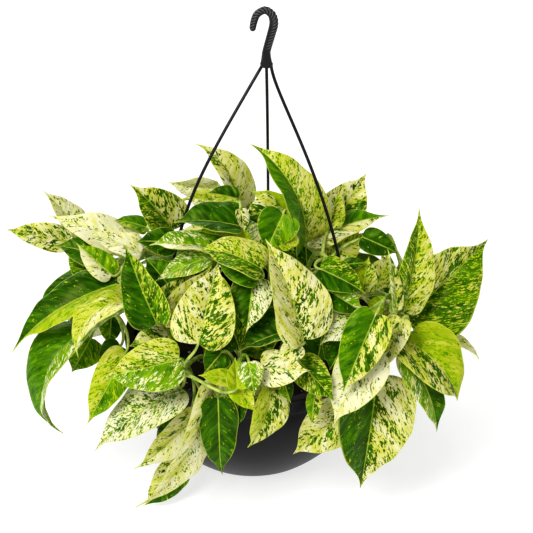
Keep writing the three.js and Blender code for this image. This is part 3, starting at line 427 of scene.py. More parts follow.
def principled(name: str) -> tuple[bpy.types.Material, bpy.types.NodeTree, bpy.types.Node]:
    """Make a material with nodes.

    Args:
        name: its name.

    Returns:
        The material, its node tree and its Principled shader.
    """
    made = bpy.data.materials.new(name)
    made.use_nodes = True
    return made, made.node_tree, made.node_tree.nodes["Principled BSDF"]


def mesh_from(name: str, made: bmesh.types.BMesh) -> bpy.types.Mesh:
    """Turn a mesh that is being shaped into a finished one.

    Args:
        name: its name.
        made: the mesh, which is used up.

    Returns:
        The finished mesh.
    """
    mesh = bpy.data.meshes.new(name)
    made.to_mesh(mesh)
    made.free()
    return mesh


def put_in_scene(name: str, data: bpy.types.ID) -> bpy.types.Object:
    """Put a new object with its mesh, lamp or lens into the scene.

    Args:
        name: its name.
        data: its mesh, lamp or lens.

    Returns:
        The object.
    """
    made = bpy.data.objects.new(name, data)
    bpy.context.scene.collection.objects.link(made)
    return made


def kd_tree(points: Sequence[Sequence[float]]) -> kdtree.KDTree:
    """Make a tree that points are looked up in.

    Args:
        points: the points.

    Returns:
        The tree, which gives each point's number.
    """
    tree = kdtree.KDTree(len(points))
    for k, point in enumerate(points):
        tree.insert(point, k)
    tree.balance()
    return tree


def spun(outline: Sequence[tuple[float, float]], turns: int) -> bmesh.types.BMesh:
    """Spin an outline about the pot's axis.

    Args:
        outline: its radii and heights, from the axis round to the axis.
        turns: how many steps the full turn has.

    Returns:
        The closed mesh, in mm.
    """
    made = bmesh.new()
    points = [made.verts.new((radius, 0, z)) for radius, z in outline]
    edges = [made.edges.new(pair) for pair in zip(points, points[1:])]
    bmesh.ops.spin(made, geom=points + edges, cent=(0, 0, 0), axis=(0, 0, 1), angle=math.tau,
                   steps=turns, use_merge=True)
    bmesh.ops.remove_doubles(made, verts=made.verts, dist=MERGE)
    return made


def unit(ways: np.ndarray) -> np.ndarray:
    """Give ways of length 1, along the last axis."""
    return ways / np.linalg.norm(ways, axis=-1, keepdims=True)


def bezier(points: Sequence[np.ndarray], t: float | np.ndarray) -> np.ndarray:
    """Work out a cubic Bezier curve.

    Args:
        points: its four points, each (..., 3).
        t: shares along it, one or an array.

    Returns:
        The points there, with the shares as the axis before the last one.
    """
    t = np.asarray(t, float)[..., None]
    s = 1 - t
    a, b, c, d = (np.asarray(p, float)[..., None, :] if t.ndim > 1 else np.asarray(p, float) for p in points)
    return a * s ** 3 + b * 3 * s * s * t + c * 3 * s * t * t + d * t ** 3


def view_point(u: float, w: float) -> np.ndarray:
    """Give the point at u, w in the plane through the aim."""
    return AIM + RIGHT * (u - AIM[0]) + UP * (w - AIM_RISE)


def dome_depth(u: float, w: float) -> float:
    """Find the depth at which the look through u, w meets the dome, or comes nearest to it.

    Args:
        u: mm right of the pot's axis.
        w: mm above its front foot edge.

    Returns:
        Mm from the plane through the aim, towards the eye.
    """
    look = view_point(u, w) - EYE
    span = float(np.linalg.norm(look))
    start = (EYE - DOME_MIDDLE) / DOME
    along = look / span / DOME
    a, b, c = along @ along, start @ along, start @ start - 1
    return span - (-b - math.sqrt(max(b * b - a * c, 0))) / a


def seen(u: float, w: float, depth: float) -> np.ndarray:
    """Give the point that the eye sees at u, w, so deep towards it."""
    at = view_point(u, w)
    return at + unit(EYE - at) * depth


def shown(points: np.ndarray) -> np.ndarray:
    """Give where the eye sees points.

    Args:
        points: the points, (..., 3).

    Returns:
        Their u and w, along the last axis.
    """
    away = points - EYE
    away = away * (-EYE_DISTANCE / (away @ TOWARDS))[..., None]
    return np.stack((AIM[0] + away @ RIGHT, AIM_RISE + away @ UP), -1)


def draws(seed: int) -> Callable[[], float]:
    """Make the part's repeatable stream of numbers from 0 to 1.

    Args:
        seed: a whole number.

    Returns:
        A function that gives the next number.
    """
    whole = 0xFFFFFFFF
    state = seed & whole

    def draw() -> float:
        """Give the next number.

        Returns:
            A number from 0 to 1.
        """
        nonlocal state
        state = (state + 0x6D2B79F5) & whole
        mixed = ((state ^ (state >> 15)) * (state | 1)) & whole
        mixed ^= (mixed + (mixed ^ (mixed >> 7)) * (mixed | 61)) & whole
        return (mixed ^ (mixed >> 14)) / 2 ** 32

    return draw


class Leaf:
    """One leaf's form: the part's formula, from its foot, tip, facing and measures."""

    def __init__(self, foot: np.ndarray, tip: np.ndarray, facing: np.ndarray,
                 measures: tuple[float, float, float, float, int], draw: Callable[[], float]) -> None:
        """Set the leaf's axes and bend.

        Args:
            foot: the notch, where the petiole comes in.
            tip: the tip.
            facing: the way that its upper side faces.
            measures: width, roll, fold and bend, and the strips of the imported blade.
            draw: the stream of numbers that it takes its ripple and twist from.
        """
        self.width, roll, fold, bend, self.strips = measures
        self.fold = math.radians(fold)
        self.bend = math.radians(max(bend, LEAST_BEND))
        self.phase = 2 * math.pi * draw()
        self.wave = self.width * (WAVE[0] + WAVE[1] * draw())
        self.twist = math.radians(TWIST * (2 * draw() - 1))
        self.foot = foot
        span = float(np.linalg.norm(tip - foot))
        self.chord = (tip - foot) / span
        face_on = unit(facing - self.chord * (facing @ self.chord))
        side = np.cross(self.chord, face_on)
        turn = math.radians(roll)
        self.normal = face_on * math.cos(turn) + side * math.sin(turn)
        self.side = side * math.cos(turn) - face_on * math.sin(turn)
        half = self.bend / 2
        self.radius = span / 2 / math.sin(half)
        self.length = self.radius * self.bend
        self.start = self.chord * math.cos(half) + self.normal * math.sin(half)
        self.under = self.chord * math.sin(half) - self.normal * math.cos(half)

    def flat(self, s: np.ndarray, e: np.ndarray) -> tuple[np.ndarray, np.ndarray]:
        """Give where a place of the blade lies on it, flattened.

        Args:
            s: shares of the way from the notch to the tip.
            e: from -1 at the left margin to 1 at the right one.

        Returns:
            Mm along the midrib, and mm out from it.
        """
        rib = s ** RIB_EASE
        margin = s - LOBE * np.sin(np.pi * s) * (1 - s) ** 2
        along = (rib + np.abs(e) * (margin - rib)) * self.length
        return along, np.abs(e) * self.across(s) * self.width / 2

    def across(self, s: np.ndarray) -> np.ndarray:
        """Give how wide the blade is at shares of its length, where 1 is its widest."""
        belly = np.sin(np.pi * s) * (1 + BELLY * np.cos(np.pi * s))
        return belly * (1 - TIP_TAPER * s ** 6) / WIDEST

    def at(self, s: float | np.ndarray, e: float | np.ndarray) -> np.ndarray:
        """Give points in the middle of the blade.

        Args:
            s: shares of the way from the notch to the tip.
            e: from -1 at the left margin to 1 at the right one.

        Returns:
            The points, in mm.
        """
        s, e = np.broadcast_arrays(np.asarray(s, float), np.asarray(e, float))
        along, out = self.flat(s, e)
        reach, across = np.abs(e), self.across(s)
        ripple = np.sin(2 * np.pi * WAVES * s + self.phase + np.sign(e))
        lift = (out * math.sin(self.fold)
                + CAMBER * self.width * across * (1 - (2 * reach - 1) ** 2)
                + self.wave * reach ** 2 * across * ripple)
        spread = np.sign(e) * out * math.cos(self.fold)
        turn = self.twist * along / self.length
        y = spread * np.cos(turn) - lift * np.sin(turn)
        z = spread * np.sin(turn) + lift * np.cos(turn)
        half = self.bend / 2
        arc = along / self.radius - half
        x = self.radius * (np.sin(arc) + math.sin(half)) + z * np.sin(arc)
        rise = self.radius * (np.cos(arc) - math.cos(half)) + z * np.cos(arc)
        return (self.foot + x[..., None] * self.chord + y[..., None] * self.side
                + rise[..., None] * self.normal)

    def normal_at(self, s: float | np.ndarray, e: float | np.ndarray) -> np.ndarray:
        """Give the upper side's normals.

        Args:
            s: shares of the way from the notch to the tip.
            e: from -1 at the left margin to 1 at the right one.

        Returns:
            The normals.
        """
        here = np.clip(s, NORMAL_EDGE, 1 - NORMAL_EDGE)
        along = self.at(here + NORMAL_STEP, e) - self.at(here - NORMAL_STEP, e)
        across = self.at(here, np.minimum(np.asarray(e) + NORMAL_STEP, 1)) - self.at(
            here, np.maximum(np.asarray(e) - NORMAL_STEP, -1))
        return unit(np.cross(across, along))

    def corners(self) -> np.ndarray:
        """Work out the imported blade's corners.

        Returns:
            The corners on its upper face, and then those on its lower one.
        """
        shares = [1 - (1 - k / self.strips) ** STATION_EASE for k in range(1, self.strips)]
        s = np.array([value for value in shares for _ in range(3)] + [1.0])
        e = np.array([-1.0, 0.0, 1.0] * len(shares) + [0.0])
        middle, normal = self.at(s, e), self.normal_at(s, e)
        return np.concatenate((middle + normal * BLADE / 2, middle - normal * BLADE / 2))


class Vine:
    """One rooted stem's line."""

    def __init__(self, root: np.ndarray, tip: np.ndarray) -> None:
        """Set the curve from the soil to the stem's tip.

        Args:
            root: where it leaves the soil.
            tip: its end.
        """
        lean = (tip - root) * (1, 1, 0)
        rise = tip[2] - root[2]
        self.root = root
        self.curve = (
            root + UPWARDS * SOIL_RELIEF,
            root + lean * CLIMB_NEAR[0] + UPWARDS * max(CLIMB_NEAR[1] * rise, CLIMB_LEAST),
            root + lean * CLIMB_FAR[0] + UPWARDS * CLIMB_FAR[1] * max(rise, CLIMB_LEAST),
            tip,
        )


def petiole_curves(leaf: Leaf, vine: Vine) -> tuple[np.ndarray, np.ndarray]:
    """Work out every way in which a leaf's petiole could leave a vine, as the part tries them.

    Args:
        leaf: the leaf.
        vine: the vine.

    Returns:
        The Bezier points, (ways, 4, 3), and the share along the vine that each way leaves at.
    """
    curves, leaves_at = [], []
    for attach in ATTACH:
        start = bezier(vine.curve, attach)
        reach = float(np.linalg.norm(leaf.foot - start))
        scale = min(1.0, reach / FULL_ARRIVAL)
        for lift in LIFTS:
            for behind, below, aside in ARRIVALS:
                arrival = leaf.foot + (-behind * leaf.start + below * leaf.under + aside * leaf.side) * scale
                leave = start + (arrival - start) * LEAVE + np.array((0.0, 0.0, lift * reach))
                curves.append((start, leave, arrival, leaf.foot))
                leaves_at.append(attach)
    return np.array(curves), np.array(leaves_at)


def petiole_corners(curves: np.ndarray, leaf: Leaf) -> np.ndarray:
    """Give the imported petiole's corners at its two middle rings.

    Args:
        curves: Bezier points, (ways, 4, 3).
        leaf: the leaf that they come to.

    Returns:
        Eight corners for each way, (ways, 8, 3).
    """
    ends = tuple(curves.transpose(1, 0, 2))
    line = np.stack([bezier(ends, share) for share in PETIOLE_STATIONS], 1)
    normal = np.broadcast_to(-leaf.under, (len(curves), 3))
    rings = []
    for k in (3, 2, 1):
        along = unit(line[:, min(k + 1, 3)] - line[:, k - 1])
        normal = unit(normal - along * np.sum(normal * along, 1, keepdims=True))
        side = np.cross(along, normal)
        if k < 3:
            radius = PETIOLE_RADII[k]
            rings += [line[:, k] + way * radius for way in (normal, side, -normal, -side)]
    return np.stack(rings, 1)


class PackedCorners:
    """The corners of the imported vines, to look up which leaves and petioles stand where."""

    def __init__(self, nodes: dict[str, bpy.types.Object]) -> None:
        """Read the corners.

        Args:
            nodes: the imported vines' objects by name.
        """
        self.owners: list[str] = []
        points: list[Vector] = []
        for name, piece in nodes.items():
            corners = {tuple(round(c / MM, 3) for c in vertex.co) for vertex in piece.data.vertices}
            points += [Vector(corner) for corner in sorted(corners)]
            self.owners += [name] * len(corners)
        self.tree = kd_tree(points)

    def find(self, corners: np.ndarray) -> tuple[float, str]:
        """Look corners up.

        Args:
            corners: points in mm, (n, 3).

        Returns:
            The share of them that are there, and the node that most of them are on.
        """
        met: list[str] = []
        for corner in corners:
            _, index, far = self.tree.find(corner)
            if far < CORNER_REACH:
                met.append(self.owners[index])
        return len(met) / len(corners), max(set(met), key=met.count) if met else ""


@dataclass
class GrownLeaf:
    """A leaf where the part placed it, with its petiole and its marbling."""

    leaf: Leaf
    petiole: np.ndarray
    attach: float
    halves: tuple[Marbling, Marbling]
    seed: int


def stated_leaf(row: tuple, shift: float, seed: int) -> Leaf:
    """Make a leaf of the table.

    Args:
        row: its row.
        shift: how much deeper or nearer it stands than stated.
        seed: seed of its ripple.

    Returns:
        The leaf.
    """
    foot_u, foot_w, tip_u, tip_w, behind, pitch = row[:6]
    depth = dome_depth((foot_u + tip_u) / 2, (foot_w + tip_w) / 2) - behind + shift
    foot = seen(foot_u, foot_w, depth - pitch / 2)
    tip = seen(tip_u, tip_w, depth + pitch / 2)
    return Leaf(foot, tip, unit(EYE - (foot + tip) / 2), row[6:11], draws(seed))


def spread_leaf(spread: Spread, k: int, nudge: tuple[float, float]) -> Leaf:
    """Make the k-th leaf of a spread.

    Args:
        spread: the spread.
        k: its number.
        nudge: how far it is moved, as a share of the dome inwards and mm upwards.

    Returns:
        The leaf.
    """
    draw = draws(spread.seed + k)
    low, high = (math.sin(math.radians(a)) for a in (spread.lowest, spread.highest))
    climb = math.asin(low + (high - low) * (k + 0.5) / spread.count)
    azimuth = math.radians(spread.middle + spread.sweep * (2 * ((k * TURN[1] + TURN[0]) % 1) - 1))
    flat = math.cos(max(climb, 0))
    out = np.array((math.cos(azimuth) * flat, math.sin(azimuth) * flat, math.sin(climb)))
    inwards, upwards = nudge
    middle = out * spread.dome * (1 + inwards, 1 + inwards, 1) + spread.centre + np.array((0, 0, upwards))
    normal = unit(out * (1, 1, 1 if out[2] > 0 else 0) / spread.dome)
    fall = np.array((0.0, 0.0, spread.rise))
    fall = unit(fall - normal * (fall @ normal))
    swing = math.radians(SWING * (2 * draw() - 1))
    fall = (fall * math.cos(swing) + np.cross(normal, fall) * math.sin(swing)
            + normal * (normal @ fall) * (1 - math.cos(swing)))
    heading = unit(fall * HEADING[0] + normal * (HEADING[1] + HEADING[2] * draw()))
    length = LENGTH[0] + LENGTH[1] * draw()
    roll = RULED_ROLL * (2 * draw() - 1)
    bend = RULED_BEND[0] + RULED_BEND[1] * draw()
    measures = (RULED_WIDTH * length, roll, RULED_FOLD, bend, RULED_STRIPS)
    return Leaf(middle - heading * length / 2, middle + heading * length / 2, normal, measures, draw)


def object_from(name: str, made: bmesh.types.BMesh, material: bpy.types.Material,
                replaced: Sequence[str] = ()) -> bpy.types.Object:
    """Turn a mesh in mm into a piece of the object in metres.

    Args:
        name: the piece's name.
        made: the mesh, which is used up.
        material: its material.
        replaced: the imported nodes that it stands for.

    Returns:
        The piece.
    """
    bmesh.ops.scale(made, vec=(MM, MM, MM), verts=made.verts)
    for face in made.faces:
        face.smooth = True
    mesh = mesh_from(name, made)
    mesh.materials.append(material)
    piece = put_in_scene(name, mesh)
    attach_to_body(piece, BODY)
    if replaced:
        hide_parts(*replaced)
    log.info("%s: %d faces", name, len(mesh.polygons))
    return piece


def sweep(made: bmesh.types.BMesh, line: np.ndarray, radii: Sequence[float], sides: int,
          pinch: float = 1.0) -> None:
    """Sweep a closed round rod along a line, into a mesh.

    Args:
        made: the mesh that it is added to.
        line: the line's points, (n, 3).
        radii: the rod's radius at each point.
        sides: how many sides it has.
        pinch: its thickness across the first ring's own y, as a share of its width.
    """
    points = [Vector(p) for p in line]
    ways = [(points[min(k + 1, len(points) - 1)] - points[max(k - 1, 0)]).normalized()
            for k in range(len(points))]
    place = Matrix.Translation(points[0]) @ ways[0].to_track_quat("Z", "Y").to_matrix().to_4x4()
    ring = bmesh.ops.create_circle(
        made, cap_ends=True, segments=sides, radius=radii[0],
        matrix=place @ Matrix.Diagonal((1.0, pinch, 1.0, 1.0)))["verts"]
    start = [face for face in ring[0].link_faces if len(face.verts) == sides]
    bmesh.ops.reverse_faces(made, faces=start)
    edges = [edge for edge in start[0].edges]
    for k in range(1, len(points)):
        grown = bmesh.ops.extrude_edge_only(made, edges=edges)["geom"]
        verts = [part for part in grown if isinstance(part, bmesh.types.BMVert)]
        edges = [part for part in grown if isinstance(part, bmesh.types.BMEdge)]
        turn = ways[k - 1].rotation_difference(ways[k]).to_matrix()
        scale = radii[k] / radii[k - 1]
        bmesh.ops.scale(made, vec=(scale,) * 3, verts=verts, space=Matrix.Translation(-points[k - 1]))
        bmesh.ops.rotate(made, cent=points[k - 1], matrix=turn, verts=verts)
        bmesh.ops.translate(made, vec=points[k] - points[k - 1], verts=verts)
    bmesh.ops.contextual_create(made, geom=edges)


@dataclass(frozen=True)
class MouldedPlastic:
    """Injection-moulded polypropylene: a satin skin with the faint pebble of its mould."""

    name: str
    colour: str
    worn: str
    roughness: float
    grain: float = 0.9
    depth: float = 0.05
    gloss: float = 0.2
    # colour of the painted highlight on the rope's crests
    crest_highlight_colour: str = "5A5A5C"
    patches_a_metre: float = 18.0
    worn_span: tuple[float, float] = (0.35, 0.75)
    dulled: tuple[float, float] = (-0.06, 0.08)

    def material(self) -> bpy.types.Material:
        """Make the material: a satin dark skin, lighter in broad patches, with a painted highlight on the
        rope's crests.

        Returns:
            The material.
        """
        made, tree, shader = principled(self.name)
        place = add_node(tree, "ShaderNodeTexCoord").outputs["Object"]
        broad = add_node(tree, "ShaderNodeTexNoise", {
            "Vector": place, "Scale": self.patches_a_metre, "Detail": 3.0}).outputs["Fac"]
        fine = add_node(tree, "ShaderNodeTexNoise", {
            "Vector": place, "Scale": 1 / (self.grain * MM), "Detail": 2.0}).outputs["Fac"]
        skin = add_node(tree, "ShaderNodeValToRGB", {"Fac": broad},
                        stops=tuple(zip(self.worn_span, (self.colour, self.worn)))).outputs["Color"]
        glossy, dull = (self.roughness + change for change in self.dulled)
        gloss = add_node(tree, "ShaderNodeMapRange", {"Value": broad, "To Min": glossy, "To Max": dull})
        bump = add_node(tree, "ShaderNodeBump", {
            "Height": fine, "Distance": self.depth * MM, "Strength": 0.6})
        # painted highlight: a lighter grey blended in where the hook marks its rope crests
        crest_highlight = add_node(tree, "ShaderNodeAttribute", attribute_name="crest_highlight").outputs["Fac"]
        fill_sockets(shader, {
            "Base Color": blend(tree, crest_highlight, skin, linear(self.crest_highlight_colour)),
            "Roughness": gloss.outputs["Result"], "Normal": bump.outputs["Normal"],
            "IOR": 1.49, "Specular IOR Level": self.gloss})
        return made


@dataclass(frozen=True)
class LooseEarth:
    """Peat, bark or perlite: dull, rough and broken in colour."""

    name: str
    dark: str
    light: str
    grain: float
    roughness: float = 0.95
    depth: float = 0.5
    light_span: tuple[float, float] = (0.38, 0.68)

    def material(self) -> bpy.types.Material:
        """Make the material: two colours broken into grains, with no gloss.

        Returns:
            The material.
        """
        made, tree, shader = principled(self.name)
        place = add_node(tree, "ShaderNodeTexCoord").outputs["Object"]
        grains = add_node(tree, "ShaderNodeTexNoise", {
            "Vector": place, "Scale": 1 / (self.grain * MM), "Detail": 5.0, "Roughness": 0.7}).outputs["Fac"]
        ramp = add_node(tree, "ShaderNodeValToRGB", {"Fac": grains},
                        stops=tuple(zip(self.light_span, (self.dark, self.light))))
        bump = add_node(tree, "ShaderNodeBump", {
            "Height": grains, "Distance": self.depth * MM, "Strength": 0.9})
        fill_sockets(shader, {"Base Color": ramp.outputs["Color"], "Normal": bump.outputs["Normal"],
                              "Roughness": self.roughness})
        return made


@dataclass(frozen=True)
class MarbledLeaf:
    """A living leaf's waxy skin, marbled in dark green, lime and cream along its side veins.

    A layer of noise is how much longer its flecks are than wide, their width in mm, its octaves and
    its weight. A line is where its edge starts and ends, how strong it is, and its colour.
    """

    name: str = "marbled_leaf"
    vein_slope: float = 0.75
    vein_curve: float = 0.012
    vein_spacing: float = 7.5
    patches: tuple[Layer, ...] = ((0.85, 11.0, 2.0, 12.0), (1.0, 4.4, 2.0, 12.0))
    flecks: tuple[Layer, ...] = ((0.95, 2.6, 1.0, 11.0), (0.85, 1.35, 1.0, 10.0))
    streaks: tuple[Layer, ...] = ((2.0, 1.8, 1.0, 11.0), (1.5, 0.95, 1.0, 10.0))
    yellow_wash: tuple[Layer, ...] = ((2.2, 9.0, 3.0, 1.5),)
    green_wash: tuple[Layer, ...] = ((1.8, 6.0, 4.0, 1.6),)
    skin_relief: tuple[Layer, ...] = ((1.6, 5.0, 3.0, 1.2),)
    streaked_levels: tuple[float, float] = (0.1, -0.6)
    margin_gain: float = 0.8
    margin_start: float = 0.45
    edge: float = 0.2
    greening: tuple[float, float, float] = (1.6, 0.16, -0.08)
    midrib: tuple[float, float, float, str] = (0.9, 0.35, 0.6, "CFDF58")
    side_vein: tuple[float, float, float, str] = (0.93, 1.0, 0.08, "ABCB30")
    margin: tuple[float, float, float, str] = (0.95, 0.99, 0.55, "D9E260")
    underside: tuple[float, str] = (0.25, "9DB63C")
    quilt: float = -0.16
    bump: tuple[float, float] = (0.3, 0.6)
    roughness: tuple[float, float] = (0.24, 0.46)
    pales: tuple[tuple[float, str], ...] = (
        (0.00, "F0EDC6"), (0.28, "E3E094"), (0.50, "D4D45E"), (0.75, "BDC82A"), (1.00, "A0BA0A"))
    greens: tuple[tuple[float, str], ...] = (
        (0.00, "9ABC12"), (0.32, "70A006"), (0.55, "4A8002"), (0.78, "2E6101"), (1.00, "1B4601"))

    def material(self) -> bpy.types.Material:
        """Make the material from the blade's own attributes: a soft gloss over the quilted marbling.

        Returns:
            The material.
        """
        made, tree, shader = principled(self.name)
        nodes = BladeNodes(tree, self)
        quilted = nodes.math("MULTIPLY", nodes.ripple, self.quilt)
        height = nodes.layers(self.skin_relief, quilted)
        bump = add_node(tree, "ShaderNodeBump", {
            "Height": height, "Distance": self.bump[0] * MM, "Strength": self.bump[1]})
        gloss = nodes.ramp(nodes.noise(*self.skin_relief[0][:3]), -0.5, 0.5, *self.roughness)
        fill_sockets(shader, {
            "Base Color": nodes.colour(), "Roughness": gloss, "Normal": bump.outputs["Normal"],
            "IOR": 1.45, "Specular IOR Level": 0.28, "Specular Tint": (0.9, 1.0, 0.2, 1.0)})
        return made


class BladeNodes:
    """The nodes that draw a marbled blade from its attributes, along its side veins."""

    def __init__(self, tree: bpy.types.NodeTree, finish: MarbledLeaf) -> None:
        """Read the attributes, and find the side vein through each place.

        Args:
            tree: the material's tree.
            finish: the leaf's colours and measures.
        """
        self.tree = tree
        self.finish = finish
        self.place, self.skin, self.tones = (self.parts(name) for name in BLADE_LAYERS)
        self.out = self.math("ABSOLUTE", self.place["X"])
        slope = self.math("MULTIPLY_ADD", self.out, finish.vein_curve, finish.vein_slope)
        self.vein = self.math("SUBTRACT", self.place["Y"], self.math("MULTIPLY", self.out, slope))
        self.ripple = self.math("COSINE", self.math("MULTIPLY", self.vein, math.tau / finish.vein_spacing))

    def parts(self, attribute: str) -> dict[str, bpy.types.NodeSocket]:
        """Split an attribute's vector.

        Args:
            attribute: the attribute's name.

        Returns:
            Its X, Y and Z sockets by name.
        """
        source = add_node(self.tree, "ShaderNodeAttribute", attribute_name=attribute)
        split = add_node(self.tree, "ShaderNodeSeparateXYZ", {"Vector": source.outputs["Vector"]})
        return {axis: split.outputs[axis] for axis in "XYZ"}

    def math(self, operation: str, *values: object) -> bpy.types.NodeSocket:
        """Reckon with numbers or sockets by one of the math node's operations."""
        return add_node(self.tree, "ShaderNodeMath", dict(enumerate(values)), operation=operation).outputs[0]

    def ramp(self, value: bpy.types.NodeSocket, start: float, end: float, low: float = 0.0,
             high: float = 1.0) -> bpy.types.NodeSocket:
        """Lead a value that goes from start to end evenly from low to high, and no further."""
        return add_node(self.tree, "ShaderNodeMapRange", {
            "Value": value, "From Min": start, "From Max": end, "To Min": low, "To Max": high}).outputs[0]

    def noise(self, stretch: float, size: float, detail: float) -> bpy.types.NodeSocket:
        """Draw flecks that run out along the side veins.

        Args:
            stretch: how much longer a fleck is than wide.
            size: its width in mm.
            detail: octaves of the noise.

        Returns:
            The noise, from about -0.5 to 0.5.
        """
        drawn = self.math("MULTIPLY", self.place["X"], 1 / stretch)
        spot = add_node(self.tree, "ShaderNodeCombineXYZ", {
            "X": self.vein, "Y": drawn, "Z": self.place["Z"]}).outputs[0]
        level = add_node(self.tree, "ShaderNodeTexNoise", {
            "Vector": spot, "Scale": 1 / size, "Detail": detail, "Roughness": 0.6}).outputs["Fac"]
        return self.math("SUBTRACT", level, 0.5)

    def layers(self, layers: Sequence[Layer], start: object = 0.0) -> bpy.types.NodeSocket:
        """Add layers of noise to a start.

        Args:
            layers: the layers.
            start: a number or a socket.

        Returns:
            Their weighted sum with the start.
        """
        for *form, weight in layers:
            start = self.math("MULTIPLY_ADD", self.noise(*form), weight, start)
        return start

    def pale_level(self) -> bpy.types.NodeSocket:
        """Weigh the pale against the green: patches with flecks, or with streaks on green leaves.

        Returns:
            Above 0 where the blade is pale.
        """
        finish = self.finish
        patches, flecks, streaks = map(self.layers, (finish.patches, finish.flecks, finish.streaks))
        streaked = self.ramp(self.tones["X"], *finish.streaked_levels)
        small = add_node(self.tree, "ShaderNodeMix", {0: streaked, 2: flecks, 3: streaks}).outputs[0]
        mixed = add_node(self.tree, "ShaderNodeMix", {0: self.tones["Z"], 2: small, 3: patches}).outputs[0]
        outward = self.math("MULTIPLY_ADD", self.skin["X"], finish.margin_gain,
                            -finish.margin_gain * finish.margin_start)
        return self.math("ADD", self.math("ADD", self.tones["X"], mixed), outward)

    def colour(self) -> bpy.types.NodeSocket:
        """Mix the leaf's colour: pale and green parts, midrib, side veins, margin and underside.

        Returns:
            The colour's socket.
        """
        finish = self.finish
        level = self.pale_level()
        pale = self.ramp(level, -finish.edge, finish.edge)
        greening = self.ramp(level, 0.0, *finish.greening)
        yellowness = self.layers(finish.yellow_wash, self.math("ADD", self.tones["Y"], greening))
        depth = self.layers(finish.green_wash, self.skin["Z"])
        pales = add_node(self.tree, "ShaderNodeValToRGB", {"Fac": yellowness}, stops=finish.pales)
        greens = add_node(self.tree, "ShaderNodeValToRGB", {"Fac": depth}, stops=finish.greens)
        colour = blend(self.tree, pale, greens.outputs["Color"], pales.outputs["Color"])
        for value, line in ((self.out, finish.midrib), (self.ripple, finish.side_vein),
                            (self.skin["X"], finish.margin)):
            start, end, strength, shade = line
            share = self.ramp(value, start, end, high=strength)
            colour = blend(self.tree, share, colour, linear(shade))
        share, shade = finish.underside
        return blend(self.tree, self.math("MULTIPLY", self.skin["Y"], share), colour, linear(shade))


@dataclass(frozen=True)
class GreenStem:
    """A living stem or petiole: smooth, waxy and pale green, streaked with cream along its length."""

    name: str = "stem_skin"
    dark: str = "6F9A1C"
    light: str = "C9D66A"
    roughness: float = 0.38
    streaks_a_metre: float = 120.0
    light_span: tuple[float, float] = (0.36, 0.60)

    def material(self) -> bpy.types.Material:
        """Make the material, with short streaks from Object coordinates.

        Returns:
            The material.
        """
        made, tree, shader = principled(self.name)
        place = add_node(tree, "ShaderNodeTexCoord").outputs["Object"]
        drawn = add_node(tree, "ShaderNodeTexNoise", {
            "Vector": place, "Scale": self.streaks_a_metre, "Detail": 3.0}).outputs["Fac"]
        ramp = add_node(tree, "ShaderNodeValToRGB", {"Fac": drawn},
                        stops=tuple(zip(self.light_span, (self.dark, self.light))))
        fill_sockets(shader, {"Base Color": ramp.outputs["Color"], "Roughness": self.roughness, "IOR": 1.45})
        return made


POT_PLASTIC = MouldedPlastic("satin_black_polypropylene", "121214", "19191C", 0.40)
HANGER_PLASTIC = MouldedPlastic("black_hanger_polypropylene", "0C0C0D", "161617", 0.34, grain=0.7, gloss=0.3)
PEAT = LooseEarth("damp_peat", "120C07", "33241A", 1.6)
BARK = LooseEarth("composted_bark", "22150C", "4A3220", 2.2, 0.9)
PERLITE = LooseEarth("perlite", "B9B5AA", "E6E3DA", 0.8, 0.9)

# The grains' least and greatest length in mm, and their length, width and height as shares of it
BARK_SIZES, BARK_SHAPE = (2.0, 5.5), (1.0, 0.55, 0.3)
PERLITE_SIZES, PERLITE_SHAPE = (1.2, 2.6), (1.0, 0.9, 0.8)


